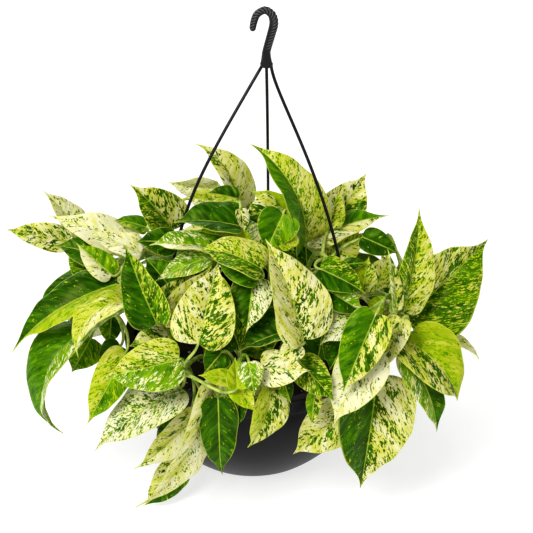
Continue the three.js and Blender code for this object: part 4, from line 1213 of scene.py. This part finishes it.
@dataclass
class Pot:
    """The moulded bowl with its upright band, turned-in lip and drain holes."""

    turns: int = 144
    bowl_points: int = 22
    foot_edge: float = 1.5
    point_ease: float = 1.4
    soft: float = 0.7
    soft_share: float = 2.2
    sharp: float = math.radians(20)
    hole_sides: int = 24

    def bowl_radius(self, z: float) -> float:
        """Give the bowl's outer radius.

        Args:
            z: the height, in mm.

        Returns:
            The radius, in mm.
        """
        top = POT_RIM_RADIUS - BAND_FLARE - BAND_STEP
        share = 1 - (1 - z / (POT_HEIGHT - BAND_HEIGHT)) ** POT_FULLNESS
        return POT_FOOT_RADIUS + (top - POT_FOOT_RADIUS) * share

    def profile(self) -> list[tuple[float, float]]:
        """Draw the wall's outline, from the foot's middle round to the floor's.

        Returns:
            Its radii and heights.
        """
        band_foot = POT_HEIGHT - BAND_HEIGHT
        band = POT_RIM_RADIUS - BAND_FLARE
        shares = [(k / self.bowl_points) ** self.point_ease for k in range(self.bowl_points + 1)]
        heights = [self.foot_edge + (band_foot - self.foot_edge) * share for share in shares]
        outer = [(0, 0), (POT_FOOT_RADIUS - self.foot_edge, 0)] + [(self.bowl_radius(z), z) for z in heights]
        outer += [(band, band_foot), (POT_RIM_RADIUS, POT_HEIGHT)]
        inner = [
            (POT_RIM_RADIUS - LIP_WIDTH, POT_HEIGHT),
            (POT_RIM_RADIUS - LIP_WIDTH, POT_HEIGHT - POT_WALL),
            (POT_RIM_RADIUS - POT_WALL, POT_HEIGHT - POT_WALL),
            (band - POT_WALL, band_foot + POT_WALL),
            (band - BAND_STEP - POT_WALL, band_foot + POT_WALL),
        ]
        inner += [(self.bowl_radius(z) - POT_WALL, z) for z in reversed(heights) if z > 2 * POT_WALL]
        inner += [(self.bowl_radius(POT_WALL) - 2 * POT_WALL, POT_WALL), (0, POT_WALL)]
        return self.rounded(outer + inner)

    def rounded(self, outline: list[tuple[float, float]], steps: int = 3) -> list[tuple[float, float]]:
        """Round an outline's sharp corners.

        Args:
            outline: its points.
            steps: arcs' steps.

        Returns:
            The outline with an arc in place of each sharp corner.
        """
        made = [outline[0]]
        for before, here, after in zip(outline, outline[1:], outline[2:]):
            corner, back, ahead = Vector(here), Vector(before) - Vector(here), Vector(after) - Vector(here)
            bend = math.pi - back.angle(ahead)
            if bend < self.sharp:
                made.append(here)
                continue
            reach = min(self.soft, back.length / self.soft_share, ahead.length / self.soft_share)
            start, end = corner + back.normalized() * reach, corner + ahead.normalized() * reach
            for k in range(steps + 1):
                t = k / steps
                point = start * (1 - t) ** 2 + corner * 2 * t * (1 - t) + end * t * t
                made.append((point.x, point.y))
        return made + [outline[-1]]

    def build(self) -> None:
        """Spin the wall and cut its drain and clip holes."""
        made = spun(self.profile(), self.turns)
        bmesh.ops.recalc_face_normals(made, faces=made.faces)
        pot = object_from("pot_moulding", made, POT_PLASTIC.material(), ["pot"])
        cut_away(pot, self.holes())

    def holes(self) -> bmesh.types.BMesh:
        """Make the rods that are cut away for the holes.

        Returns:
            Their mesh, in mm.
        """
        made = bmesh.new()
        drains = [(math.tau * k / DRAIN_HOLES, DRAIN_RING, DRAIN_RADIUS, 0) for k in range(DRAIN_HOLES)]
        clips = [(math.radians(strand.azimuth), CLIP_RING, CLIP_HOLE, POT_HEIGHT) for strand in STRANDS]
        for angle, ring, radius, z in drains + clips:
            place = Matrix.Translation((ring * math.cos(angle), ring * math.sin(angle), z))
            bmesh.ops.create_cone(made, cap_ends=True, segments=self.hole_sides, radius1=radius,
                                  radius2=radius, depth=4 * POT_WALL, matrix=place)
        return made


def cut_away(piece: bpy.types.Object, rods: bmesh.types.BMesh) -> None:
    """Cut rods out of a piece.

    Args:
        piece: the piece, in metres.
        rods: what is cut away, in mm, which is used up.
    """
    bmesh.ops.scale(rods, vec=(MM, MM, MM), verts=rods.verts)
    cutter = put_in_scene("cutter", mesh_from("cutter", rods))
    cut = piece.modifiers.new("holes", "BOOLEAN")
    cut.operation, cut.solver, cut.object = "DIFFERENCE", "EXACT", cutter
    bpy.context.view_layer.update()
    whole = piece.evaluated_get(bpy.context.evaluated_depsgraph_get())
    piece.data = bpy.data.meshes.new_from_object(whole)
    piece.modifiers.clear()
    bpy.data.objects.remove(cutter)
    piece.data.set_sharp_from_angle(angle=HOLE_CREASE)


@dataclass
class Soil:
    """Peat mix with bark and perlite, in the pot up to just under the band."""

    turns: int = 120
    rings: int = 46
    chips: int = 260
    grains: int = 150
    seed: int = 5
    levels: tuple[float, ...] = (5, 12, 24, 40, 58, 78, 92)
    foot_inset: float = 2.0
    top_inset: float = 0.8
    level_ring: float = 96.0
    level_width: float = 14.0
    crumbs: tuple[tuple[float, float, float], ...] = ((1.6, 5.0, 0.0), (0.8, 2.0, 4.0))
    least_crumb: float = 0.4
    strewn_ring: float = 98.0
    raised: float = 0.12
    tilt: float = 0.5
    knobbly: float = 0.09

    def top(self, x: float, y: float) -> float:
        """Give the soil's height at a place.

        Args:
            x: mm to the right of the pot's axis.
            y: mm behind it.

        Returns:
            The height, in mm.
        """
        swell_x, swell_y, start = SOIL_SWELLS
        inside = min(1.0, max(0.0, (self.level_ring - math.hypot(x, y)) / self.level_width))
        swell = SOIL_RELIEF * math.sin(x / swell_x + start) * math.cos(y / swell_y)
        crumbs = sum(high * noise.noise((x / wide, y / wide, layer)) for high, wide, layer in self.crumbs)
        return SOIL_TOP + inside * swell + crumbs * min(1.0, inside + self.least_crumb)

    def build(self) -> None:
        """Spin the fill, raise its crumbs, and strew the bark and perlite."""
        pot = Pot()
        inset = POT_WALL + GAP
        wall = [(pot.bowl_radius(z) - inset, z) for z in self.levels]
        edge = pot.bowl_radius(SOIL_TOP) - inset - self.top_inset
        outline = [(0, inset), (wall[0][0] - self.foot_inset, inset)] + wall + [(edge, SOIL_TOP)]
        outline += [(edge * (1 - k / self.rings), SOIL_TOP) for k in range(1, self.rings + 1)]
        made = spun(outline, self.turns)
        for vertex in made.verts:
            if vertex.co.z > SOIL_TOP - 1:
                vertex.co.z = self.top(vertex.co.x, vertex.co.y)
        bmesh.ops.recalc_face_normals(made, faces=made.faces)
        object_from("soil_fill", made, PEAT.material(), ["soil"])
        self.strew("bark_chips", self.chips, BARK, BARK_SIZES, BARK_SHAPE)
        self.strew("perlite_grains", self.grains, PERLITE, PERLITE_SIZES, PERLITE_SHAPE)

    def strew(self, name: str, count: int, finish: LooseEarth, sizes: tuple[float, float],
              shape: tuple[float, float, float]) -> None:
        """Strew grains over the soil.

        Args:
            name: the piece's name.
            count: how many grains.
            finish: their finish.
            sizes: the least and the greatest length, in mm.
            shape: length, width and height as shares of the length.
        """
        draw = random.Random(f"{self.seed}{name}")
        made = bmesh.new()
        for _ in range(count):
            out = self.strewn_ring * math.sqrt(draw.random())
            angle = math.tau * draw.random()
            x, y = out * math.cos(angle), out * math.sin(angle)
            size = draw.uniform(*sizes)
            turn = Matrix.Rotation(draw.uniform(0, math.tau), 4, "Z") @ Matrix.Rotation(
                draw.uniform(-self.tilt, self.tilt), 4, "X")
            place = Matrix.Translation((x, y, self.top(x, y) + self.raised * size)) @ turn
            stretch = Matrix.Diagonal([size / 2 * share for share in shape] + [1])
            grain = bmesh.ops.create_icosphere(made, subdivisions=1, radius=1.0, matrix=place @ stretch)
            for vertex in grain["verts"]:
                vertex.co += Vector([draw.uniform(-self.knobbly, self.knobbly) * size for _ in range(3)])
        object_from(name, made, finish.material())


@dataclass(frozen=True)
class Strand:
    """Where one strand leaves the hub, where it clips in, and how it bows between."""

    name: str
    place: int
    azimuth: float
    out: float
    down: float
    back: float
    up: float


STRANDS = (
    Strand("strand_left", -1, 218, 93, 111, 41, 155),
    Strand("strand_back", 0, 82.5, 10, 65, 0, 66),
    Strand("strand_right", 1, 321, 5, 33, 0, 152),
)


@dataclass
class Hanger:
    """The roped hook on its flared hub, and the three strands that clip under the lip."""

    hook_sides: int = 40
    hook_steps: int = 300
    rope_pitch: float = 2.7
    rope_depth: float = 0.95
    rope_slant: float = 5.0
    rope_start: float = 9.0
    rope_fade: float = 4.0
    rope_around: float = 2.1
    rope_side_fade: float = 0.5
    groove_form: float = 0.6
    # groove level above which the rope's crests get the painted highlight
    highlight_start: float = 0.6
    tip_least: float = 0.02
    hub_sides: int = 36
    strand_sides: int = 14
    strand_steps: int = 60

    def build(self) -> None:
        """Build the hook with its hub, and each strand."""
        finish = HANGER_PLASTIC.material()
        made = bmesh.new()
        self.hook(made)
        self.hub(made)
        object_from("hanger_hook_moulding", made, finish, ["hanger_hook"])
        for strand in STRANDS:
            made = bmesh.new()
            self.strand(made, strand)
            object_from(f"{strand.name}_moulding", made, finish, [strand.name])

    def hook(self, made: bmesh.types.BMesh) -> None:
        """Sweep the hook, press the slanting grooves of its roped outer side into it, and mark its crests
        for a painted highlight.

        Args:
            made: the mesh that it is added to.
        """
        knots = np.array([(HUB_X + x, 0, HUB_BOTTOM + HUB_HEIGHT + z) for x, z in HOOK_ROUTE], float)
        line = smooth_line(knots, self.hook_steps)
        shares = np.linspace(0, 1, len(line))
        radii = np.interp(shares, np.linspace(0, 1, len(HOOK_RADII)), HOOK_RADII)
        lengths = np.concatenate(([0], np.cumsum(np.linalg.norm(np.diff(line, axis=0), axis=1))))
        left = np.clip((lengths[-1] - lengths) / HOOK_RADII[-1], 0, 1)
        radii *= np.sqrt(np.maximum(1 - (1 - left) ** 2, self.tip_least))
        sweep(made, line, list(radii), self.hook_sides)
        tree = kd_tree(line)
        ways = unit(np.gradient(line, axis=0))
        # mask of the painted highlight: 1 on the rope's crests, 0 in the grooves and off the roped side
        crest_highlight = made.verts.layers.float.new("crest_highlight")
        for vertex in made.verts:
            near, k, _ = tree.find(vertex.co)
            away = vertex.co - near
            outer = Vector((0, 1, 0)).cross(Vector(ways[k]))
            around = abs(math.atan2(away.y, away.dot(outer)))
            groove = abs(math.sin(math.pi * lengths[k] / self.rope_pitch + self.rope_slant * around / 2))
            fade = min(1.0, max(0.0, (lengths[k] - self.rope_start) / self.rope_fade))
            fade *= min(1.0, max(0.0, self.rope_around - around) / self.rope_side_fade)
            fade *= min(1.0, away.length / 2)
            if away.length > 0.01:
                vertex.co += away.normalized() * self.rope_depth * fade * (groove ** self.groove_form - 1)
            vertex[crest_highlight] = fade * max(0.0, groove - self.highlight_start) / (1 - self.highlight_start)

    def hub(self, made: bmesh.types.BMesh) -> None:
        """Loft the flared hub between rounded sections.

        Args:
            made: the mesh that it is added to.
        """
        edges: list[bmesh.types.BMEdge] = []
        drift = HOOK_ROUTE[2][0] / HOOK_ROUTE[2][1]
        for height, wide, deep in HUB_SECTIONS:
            shift = max(0.0, height - HUB_HEIGHT) * drift - HUB_LEAN * height / HUB_HEIGHT
            place = Matrix.Translation((HUB_X + shift, 0, HUB_BOTTOM + height))
            shape = Matrix.Diagonal((wide, deep, 1, 1))
            ring = bmesh.ops.create_circle(made, segments=self.hub_sides, radius=1.0,
                                           matrix=place @ shape)["verts"]
            loop = list({edge for vertex in ring for edge in vertex.link_edges})
            if edges:
                bmesh.ops.bridge_loops(made, edges=edges + loop)
            else:
                bmesh.ops.contextual_create(made, geom=loop)
            edges = loop
        bmesh.ops.contextual_create(made, geom=edges)
        bmesh.ops.recalc_face_normals(made, faces=made.faces)

    def strand(self, made: bmesh.types.BMesh, strand: Strand) -> None:
        """Sweep one strand from its socket to its clip under the lip.

        Args:
            made: the mesh that it is added to.
            strand: its route.
        """
        angle = math.radians(strand.azimuth)
        away = np.array((math.cos(angle), math.sin(angle), 0.0))
        clip = away * CLIP_RING + UPWARDS * (POT_HEIGHT + CLIP_RISE)
        start = np.array((HUB_X + strand.place * STRAND_SPACING, 0.0, HUB_BOTTOM))
        curve = (start, start + away * strand.out - UPWARDS * strand.down,
                 clip - away * strand.back + UPWARDS * strand.up, clip)
        under_lip = POT_HEIGHT - POT_WALL - GAP
        line = [start + UPWARDS * STRAND_SINK] + list(bezier(curve, np.linspace(0, 1, self.strand_steps)))
        line += [away * CLIP_RING + UPWARDS * z for z in (POT_HEIGHT, under_lip)]
        radii = [STRAND_RADIUS] * len(line)
        line += [away * CLIP_RING + UPWARDS * (under_lip - drop) for drop in CLIP_DROPS]
        radii += [CLIP_HEAD, CLIP_HEAD, STRAND_RADIUS]
        sweep(made, np.array(line), radii, self.strand_sides)


def smooth_line(knots: np.ndarray, steps: int) -> np.ndarray:
    """Lead a smooth line through knots.

    Args:
        knots: the points that it passes, (n, 3).
        steps: how many points it gets.

    Returns:
        The line's points.
    """
    ends = np.concatenate(([2 * knots[0] - knots[1]], knots, [2 * knots[-1] - knots[-2]]))
    made = []
    for t in np.linspace(0, len(knots) - 1, steps):
        k = min(int(t), len(knots) - 2)
        f = t - k
        a, b, c, d = ends[k:k + 4]
        made.append(0.5 * (2 * b + (c - a) * f + (2 * a - 5 * b + 4 * c - d) * f ** 2
                           + (3 * b - a - 3 * c + d) * f ** 3))
    return np.array(made)


@dataclass
class Plant:
    """The rooted stems with their petioles and marbled leaves."""

    blade_rows: int = 38
    blade_columns: int = 20
    quilt_height: float = 0.5
    buckle_height: float = 3.2
    buckle_width: float = 17.0
    quilt_reach: float = 6.0
    buckle_reach: float = 12.0
    relief_ends: tuple[float, float] = (8.0, 6.0)
    tail_start: float = 0.7
    tail_pinch: float = 0.5
    tail_curl: float = 0.025
    tail_droop: tuple[float, float] = (0.4, 1.0)
    petiole_steps: int = 14
    petiole_sides: int = 8
    rib_steps: int = 9
    rib_span: tuple[float, float] = (0.12, 0.9)
    rib_radii: tuple[float, float] = (1.0, 0.25)
    rib_sunk: float = 0.1
    stem_steps: int = 30
    stem_sides: int = 12
    stem_lag: float = 0.16
    node_width: float = 0.03
    node_swell: float = 0.16
    crease: float = math.radians(55)
    pattern_step: float = 17.0
    pattern_count: int = 97
    buckle_step: float = 3.7
    grown: dict[str, list[GrownLeaf]] = field(default_factory=dict)
    vines: dict[str, Vine] = field(default_factory=dict)

    def build(self) -> None:
        """Read where the leaves stand, and build each vine."""
        self.plan_vines()
        self.read_leaves()
        leaf_skin, stem_skin = MarbledLeaf().material(), GreenStem().material()
        for name in self.vines:
            self.build_vine(name, leaf_skin, stem_skin)

    def plan_vines(self) -> None:
        """Lay out the stems."""
        for name, (x, y, u, w, inside) in VINES.items():
            tip = seen(u, w, dome_depth(u, w) - inside)
            self.vines[name] = Vine(np.array((x, y, SOIL_TOP)), tip)
        for name, (x, y, *tip) in BACK_VINES.items():
            self.vines[name] = Vine(np.array((x, y, SOIL_TOP)), np.array(tip, float))

    def read_leaves(self) -> None:
        """Find each leaf's and petiole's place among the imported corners."""
        packed = PackedCorners({name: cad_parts[f"vine_{name}"] for name in self.vines})
        self.grown = {name: [] for name in self.vines}
        missing = []
        for k, row in enumerate(LEAVES):
            tries = [stated_leaf(row, shift, LEAF_SEED + k) for shift in SHIFTS]
            if not self.settle(packed, tries, row[11:13], k):
                missing.append(k)
        for spread in SPREADS:
            for k in range(spread.count):
                tries = [spread_leaf(spread, k, nudge) for nudge in NUDGES]
                looks = random.Random(spread.seed * 100 + k).choice(RULED_LOOKS)
                if not self.settle(packed, tries, looks, spread.seed + k):
                    missing.append(f"{spread.seed}+{k}")
        log.info("leaves found: %d, not grown: %s", sum(map(len, self.grown.values())), missing)

    def settle(self, packed: PackedCorners, tries: Sequence[Leaf], looks: tuple[Marbling, Marbling],
               seed: int) -> bool:
        """Settle which of a leaf's tries was grown, and by which petiole.

        Args:
            packed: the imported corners.
            tries: the leaf at each place that it was tried at.
            looks: the marbling of its halves.
            seed: its own number.

        Returns:
            Whether it was grown at all.
        """
        for leaf in tries:
            corners = leaf.corners()
            tips = corners[[len(corners) // 2 - 1, -1]]
            if packed.find(tips)[0] == 0:
                continue
            found, owner = packed.find(corners)
            if found < ENOUGH_CORNERS:
                continue
            curves, leaves_at = petiole_curves(leaf, self.vines[owner])
            shares = [packed.find(ring)[0] for ring in petiole_corners(curves, leaf)]
            best = int(np.argmax(shares))
            if shares[best] < ENOUGH_CORNERS:
                log.warning("leaf %s on %s: petiole found by %.2f only", seed, owner, shares[best])
            self.grown[owner].append(GrownLeaf(leaf, curves[best], float(leaves_at[best]),
                                               self.placed_halves(leaf, looks), seed))
            return True
        return False

    def placed_halves(self, leaf: Leaf, looks: tuple[Marbling, Marbling]) -> tuple[Marbling, Marbling]:
        """Give each half of a leaf its marbling.

        Args:
            leaf: the leaf.
            looks: the marbling of the left or upper half as seen, and of the right or lower one.

        Returns:
            The marbling where e is below 0, and where it is above.
        """
        one, other = shown(leaf.at(0.5, np.array((-1.0, 1.0))))
        heading = shown(leaf.at(np.array((0.0, 1.0)), 0.0))
        lying = abs(heading[1][0] - heading[0][0]) > abs(heading[1][1] - heading[0][1])
        first = one[1] > other[1] if lying else one[0] < other[0]
        return looks if first else looks[::-1]

    def build_vine(self, name: str, leaf_skin: bpy.types.Material, stem_skin: bpy.types.Material) -> None:
        """Build one vine: its stem, petioles and blades.

        Args:
            name: the vine's name.
            leaf_skin: the blades' material.
            stem_skin: the stem's and petioles' material.
        """
        made = bmesh.new()
        self.stem(made, self.vines[name], [grown.attach for grown in self.grown[name]])
        for grown in self.grown[name]:
            self.petiole(made, grown)
        for face in made.faces:
            face.material_index = 1
        for grown in self.grown[name]:
            self.blade(made, grown)
        piece = object_from(f"foliage_{name}", made, leaf_skin, [f"vine_{name}"])
        piece.data.materials.append(stem_skin)
        piece.data.set_sharp_from_angle(angle=self.crease)

    def stem(self, made: bmesh.types.BMesh, vine: Vine, nodes: Sequence[float]) -> None:
        """Sweep the stem, with a swelling at each node that a petiole leaves from.

        Args:
            made: the mesh that it is added to.
            vine: the vine.
            nodes: shares along it.
        """
        t = np.linspace(0, 1, self.stem_steps)
        line = np.concatenate(([vine.root - (0, 0, STEM_SINK)], bezier(vine.curve, t)))
        thinned = np.concatenate(([0], (t + self.stem_lag) / (1 + self.stem_lag)))
        swell = sum(np.exp(-((t - node) / self.node_width) ** 2) for node in set(nodes)) if nodes else 0 * t
        swell = np.concatenate(([0], np.minimum(swell, 1)))
        radii = (STEM_RADIUS + (STEM_TIP_RADIUS - STEM_RADIUS) * thinned) * (1 + self.node_swell * swell)
        sweep(made, line, list(radii), self.stem_sides)

    def petiole(self, made: bmesh.types.BMesh, grown: GrownLeaf) -> None:
        """Sweep the petiole and carry it on under the blade as its midrib.

        Args:
            made: the mesh that it is added to.
            grown: the leaf.
        """
        t = np.linspace(0, 1, self.petiole_steps)
        line = bezier(tuple(grown.petiole), t)
        radii = np.interp(t, PETIOLE_STATIONS, PETIOLE_RADII)
        s = np.linspace(*self.rib_span, self.rib_steps)
        rib = np.interp(s, (0, 1), self.rib_radii)
        under = self.surface(grown, s, 0 * s) - grown.leaf.normal_at(s, 0.0) * (rib - self.rib_sunk)[:, None]
        sweep(made, np.concatenate((line, under)), [*radii, *rib], self.petiole_sides)

    def surface(self, grown: GrownLeaf, s: np.ndarray, e: np.ndarray) -> np.ndarray:
        """Give the finished blade's middle: narrowed to a curled drip tip, quilted and buckled.

        Args:
            grown: the leaf.
            s: shares of the way from the notch to the tip.
            e: from -1 at one margin to 1 at the other.

        Returns:
            The points, in mm.
        """
        leaf = grown.leaf
        tail = np.clip((s - self.tail_start) / (1 - self.tail_start), 0, 1)
        narrowed = e * (1 - self.tail_pinch * tail * tail * (3 - 2 * tail))
        along, out = leaf.flat(s, narrowed)
        points = leaf.at(s, narrowed) + leaf.normal_at(s, narrowed) * self.relief(
            grown, along, out * np.sign(e), s, e)[:, None]
        draw = random.Random(grown.seed)
        droop, swing = draw.uniform(*self.tail_droop), draw.uniform(-1.0, 1.0)
        curl = leaf.side * swing - leaf.normal_at(0.9, 0.0) * droop
        return points + curl * (self.tail_curl * leaf.length * tail ** 2)[:, None]

    def relief(self, grown: GrownLeaf, along: np.ndarray, out: np.ndarray, s: np.ndarray,
               e: np.ndarray) -> np.ndarray:
        """Give how far the blade is quilted between its side veins and buckled, which dies out at its ends.

        Args:
            grown: the leaf.
            along: mm along the midrib.
            out: mm out from it, signed.
            s: shares of the way from the notch to the tip.
            e: from -1 at one margin to 1 at the other.

        Returns:
            Mm up from the even blade.
        """
        reach = np.abs(out)
        vein = along - reach * (MarbledLeaf.vein_slope + MarbledLeaf.vein_curve * reach)
        quilt = -np.cos(math.tau * vein / MarbledLeaf.vein_spacing) * (1 - e ** 4)
        quilt *= np.minimum(reach / self.quilt_reach, 1)
        own, wide = grown.seed * self.buckle_step, self.buckle_width
        buckle = np.array([noise.noise((x / wide, y / wide, own)) for x, y in zip(out, along)])
        buckle *= np.minimum(reach / self.buckle_reach, 1)
        ends = np.clip(self.relief_ends[0] * s, 0, 1) * np.clip(self.relief_ends[1] * (1 - s), 0, 1)
        return (quilt * self.quilt_height + buckle * self.buckle_height) * ends

    def blade(self, made: bmesh.types.BMesh, grown: GrownLeaf) -> None:
        """Shape one blade from a grid, with the attributes that its marbling reads.

        Args:
            made: the mesh that it is added to.
            grown: the leaf.
        """
        part = bmesh.new()
        place, skin, tones = (part.verts.layers.float_vector.new(name) for name in BLADE_LAYERS)
        bmesh.ops.create_grid(part, x_segments=self.blade_columns, y_segments=self.blade_rows, size=1.0)
        verts = list(part.verts)
        flat = np.array([vertex.co for vertex in verts])
        s = 1 - (1 - (flat[:, 1] + 1) / 2) ** STATION_EASE
        e = flat[:, 0]
        leaf = grown.leaf
        points = self.surface(grown, s, e)
        along, out = leaf.flat(s, e)
        halves = [half.value for half in grown.halves]
        own = self.pattern_step * (grown.seed % self.pattern_count)
        for vertex, point, side, y, x in zip(verts, points, e, along, out):
            vertex.co = point
            tone = halves[0] if side < 0 else halves[1]
            if abs(side) < 1e-6:
                tone = tuple((a + b) / 2 for a, b in zip(*halves))
            vertex[place] = Vector((math.copysign(x, side), y, own))
            vertex[skin] = Vector((abs(side), 0.0, tone[3]))
            vertex[tones] = Vector(tone[:3])
        bmesh.ops.remove_doubles(part, verts=part.verts, dist=MERGE)
        part.normal_update()
        upper = np.mean([face.normal for face in part.faces], axis=0) @ leaf.normal_at(0.5, 0.0)
        if upper < 0:
            bmesh.ops.reverse_faces(part, faces=part.faces)
            part.normal_update()
        for vertex in part.verts:
            vertex.co += vertex.normal * FINE_BLADE / 2
        top = set(part.verts)
        bmesh.ops.solidify(part, geom=part.faces[:], thickness=FINE_BLADE)
        for vertex in part.verts:
            if vertex not in top:
                vertex[skin].y = 1.0
        mesh = mesh_from("blade", part)
        made.from_mesh(mesh)
        bpy.data.meshes.remove(mesh)


@dataclass
class Studio:
    """A pale floor, soft lights and the camera. Each lamp has its place, side in metres and watts."""

    floor_size: float = 30.0
    floor_colour: str = "B8B8B8"
    floor_glow: float = 0.60
    room_light: float = 0.30
    lamps: tuple[tuple[str, tuple[float, float, float], float, float], ...] = (
        ("key", (-0.9, -1.3, 1.9), 0.9, 33.0),
        ("fill", (1.5, -0.9, 1.1), 1.2, 3.0),
        ("back", (-0.6, 1.6, 1.5), 1.2, 15.0),
    )
    lamps_aim: tuple[float, float, float] = (0.0, 0.0, 0.18)
    far_clip: float = 30.0

    def build(self) -> None:
        """Set up the floor, the lights and the camera."""
        self.floor()
        self.world()
        for lamp in self.lamps:
            self.light(*lamp)
        self.camera()

    def floor(self) -> None:
        """Lay the floor, which glows a little so that it comes out almost white."""
        made = bmesh.new()
        bmesh.ops.create_grid(made, x_segments=2, y_segments=2, size=self.floor_size)
        floor = put_in_scene("floor", mesh_from("floor", made))
        paint, _, shader = principled("pale_floor")
        fill_sockets(shader, {
            "Base Color": linear(self.floor_colour), "Roughness": 0.9, "Emission Color": WHITE,
            "Emission Strength": self.floor_glow})
        floor.data.materials.append(paint)

    def world(self) -> None:
        """Fill the room with soft white light."""
        world = bpy.data.worlds.new("studio")
        world.use_nodes = True
        fill_sockets(world.node_tree.nodes["Background"], {"Color": WHITE, "Strength": self.room_light})
        bpy.context.scene.world = world

    def light(self, name: str, place: tuple[float, float, float], size: float, power: float) -> None:
        """Hang a square lamp that faces the plant.

        Args:
            name: the lamp's name.
            place: where it hangs, in metres.
            size: its side, in metres.
            power: its power, in watts.
        """
        lamp = bpy.data.lights.new(name, "AREA")
        lamp.size = size
        lamp.energy = power
        hung = put_in_scene(name, lamp)
        hung.location = place
        hung.rotation_euler = (Vector(self.lamps_aim) - Vector(place)).to_track_quat("-Z", "Y").to_euler()

    def camera(self) -> None:
        """Set the camera at the photograph's viewing angle."""
        lens = bpy.data.cameras.new("camera")
        lens.sensor_width = SENSOR
        lens.lens = SENSOR * FOCAL_PIXELS / FRAME_PIXELS
        lens.clip_end = self.far_clip
        camera = put_in_scene("camera", lens)
        camera.location = EYE * MM
        camera.rotation_euler = (math.pi / 2 - EYE_TILT, 0.0, 0.0)
        bpy.context.scene.camera = camera


def main() -> None:
    """Build the studio and every sub-assembly."""
    logging.basicConfig(level=logging.INFO, format="%(name)s: %(message)s")
    scene = bpy.context.scene
    scene.view_settings.view_transform = "Standard"
    scene.view_settings.look = "Medium High Contrast"
    for assembly in (Studio(), Pot(), Soil(), Hanger(), Plant()):
        assembly.build()


if __name__ == "__main__":
    main()
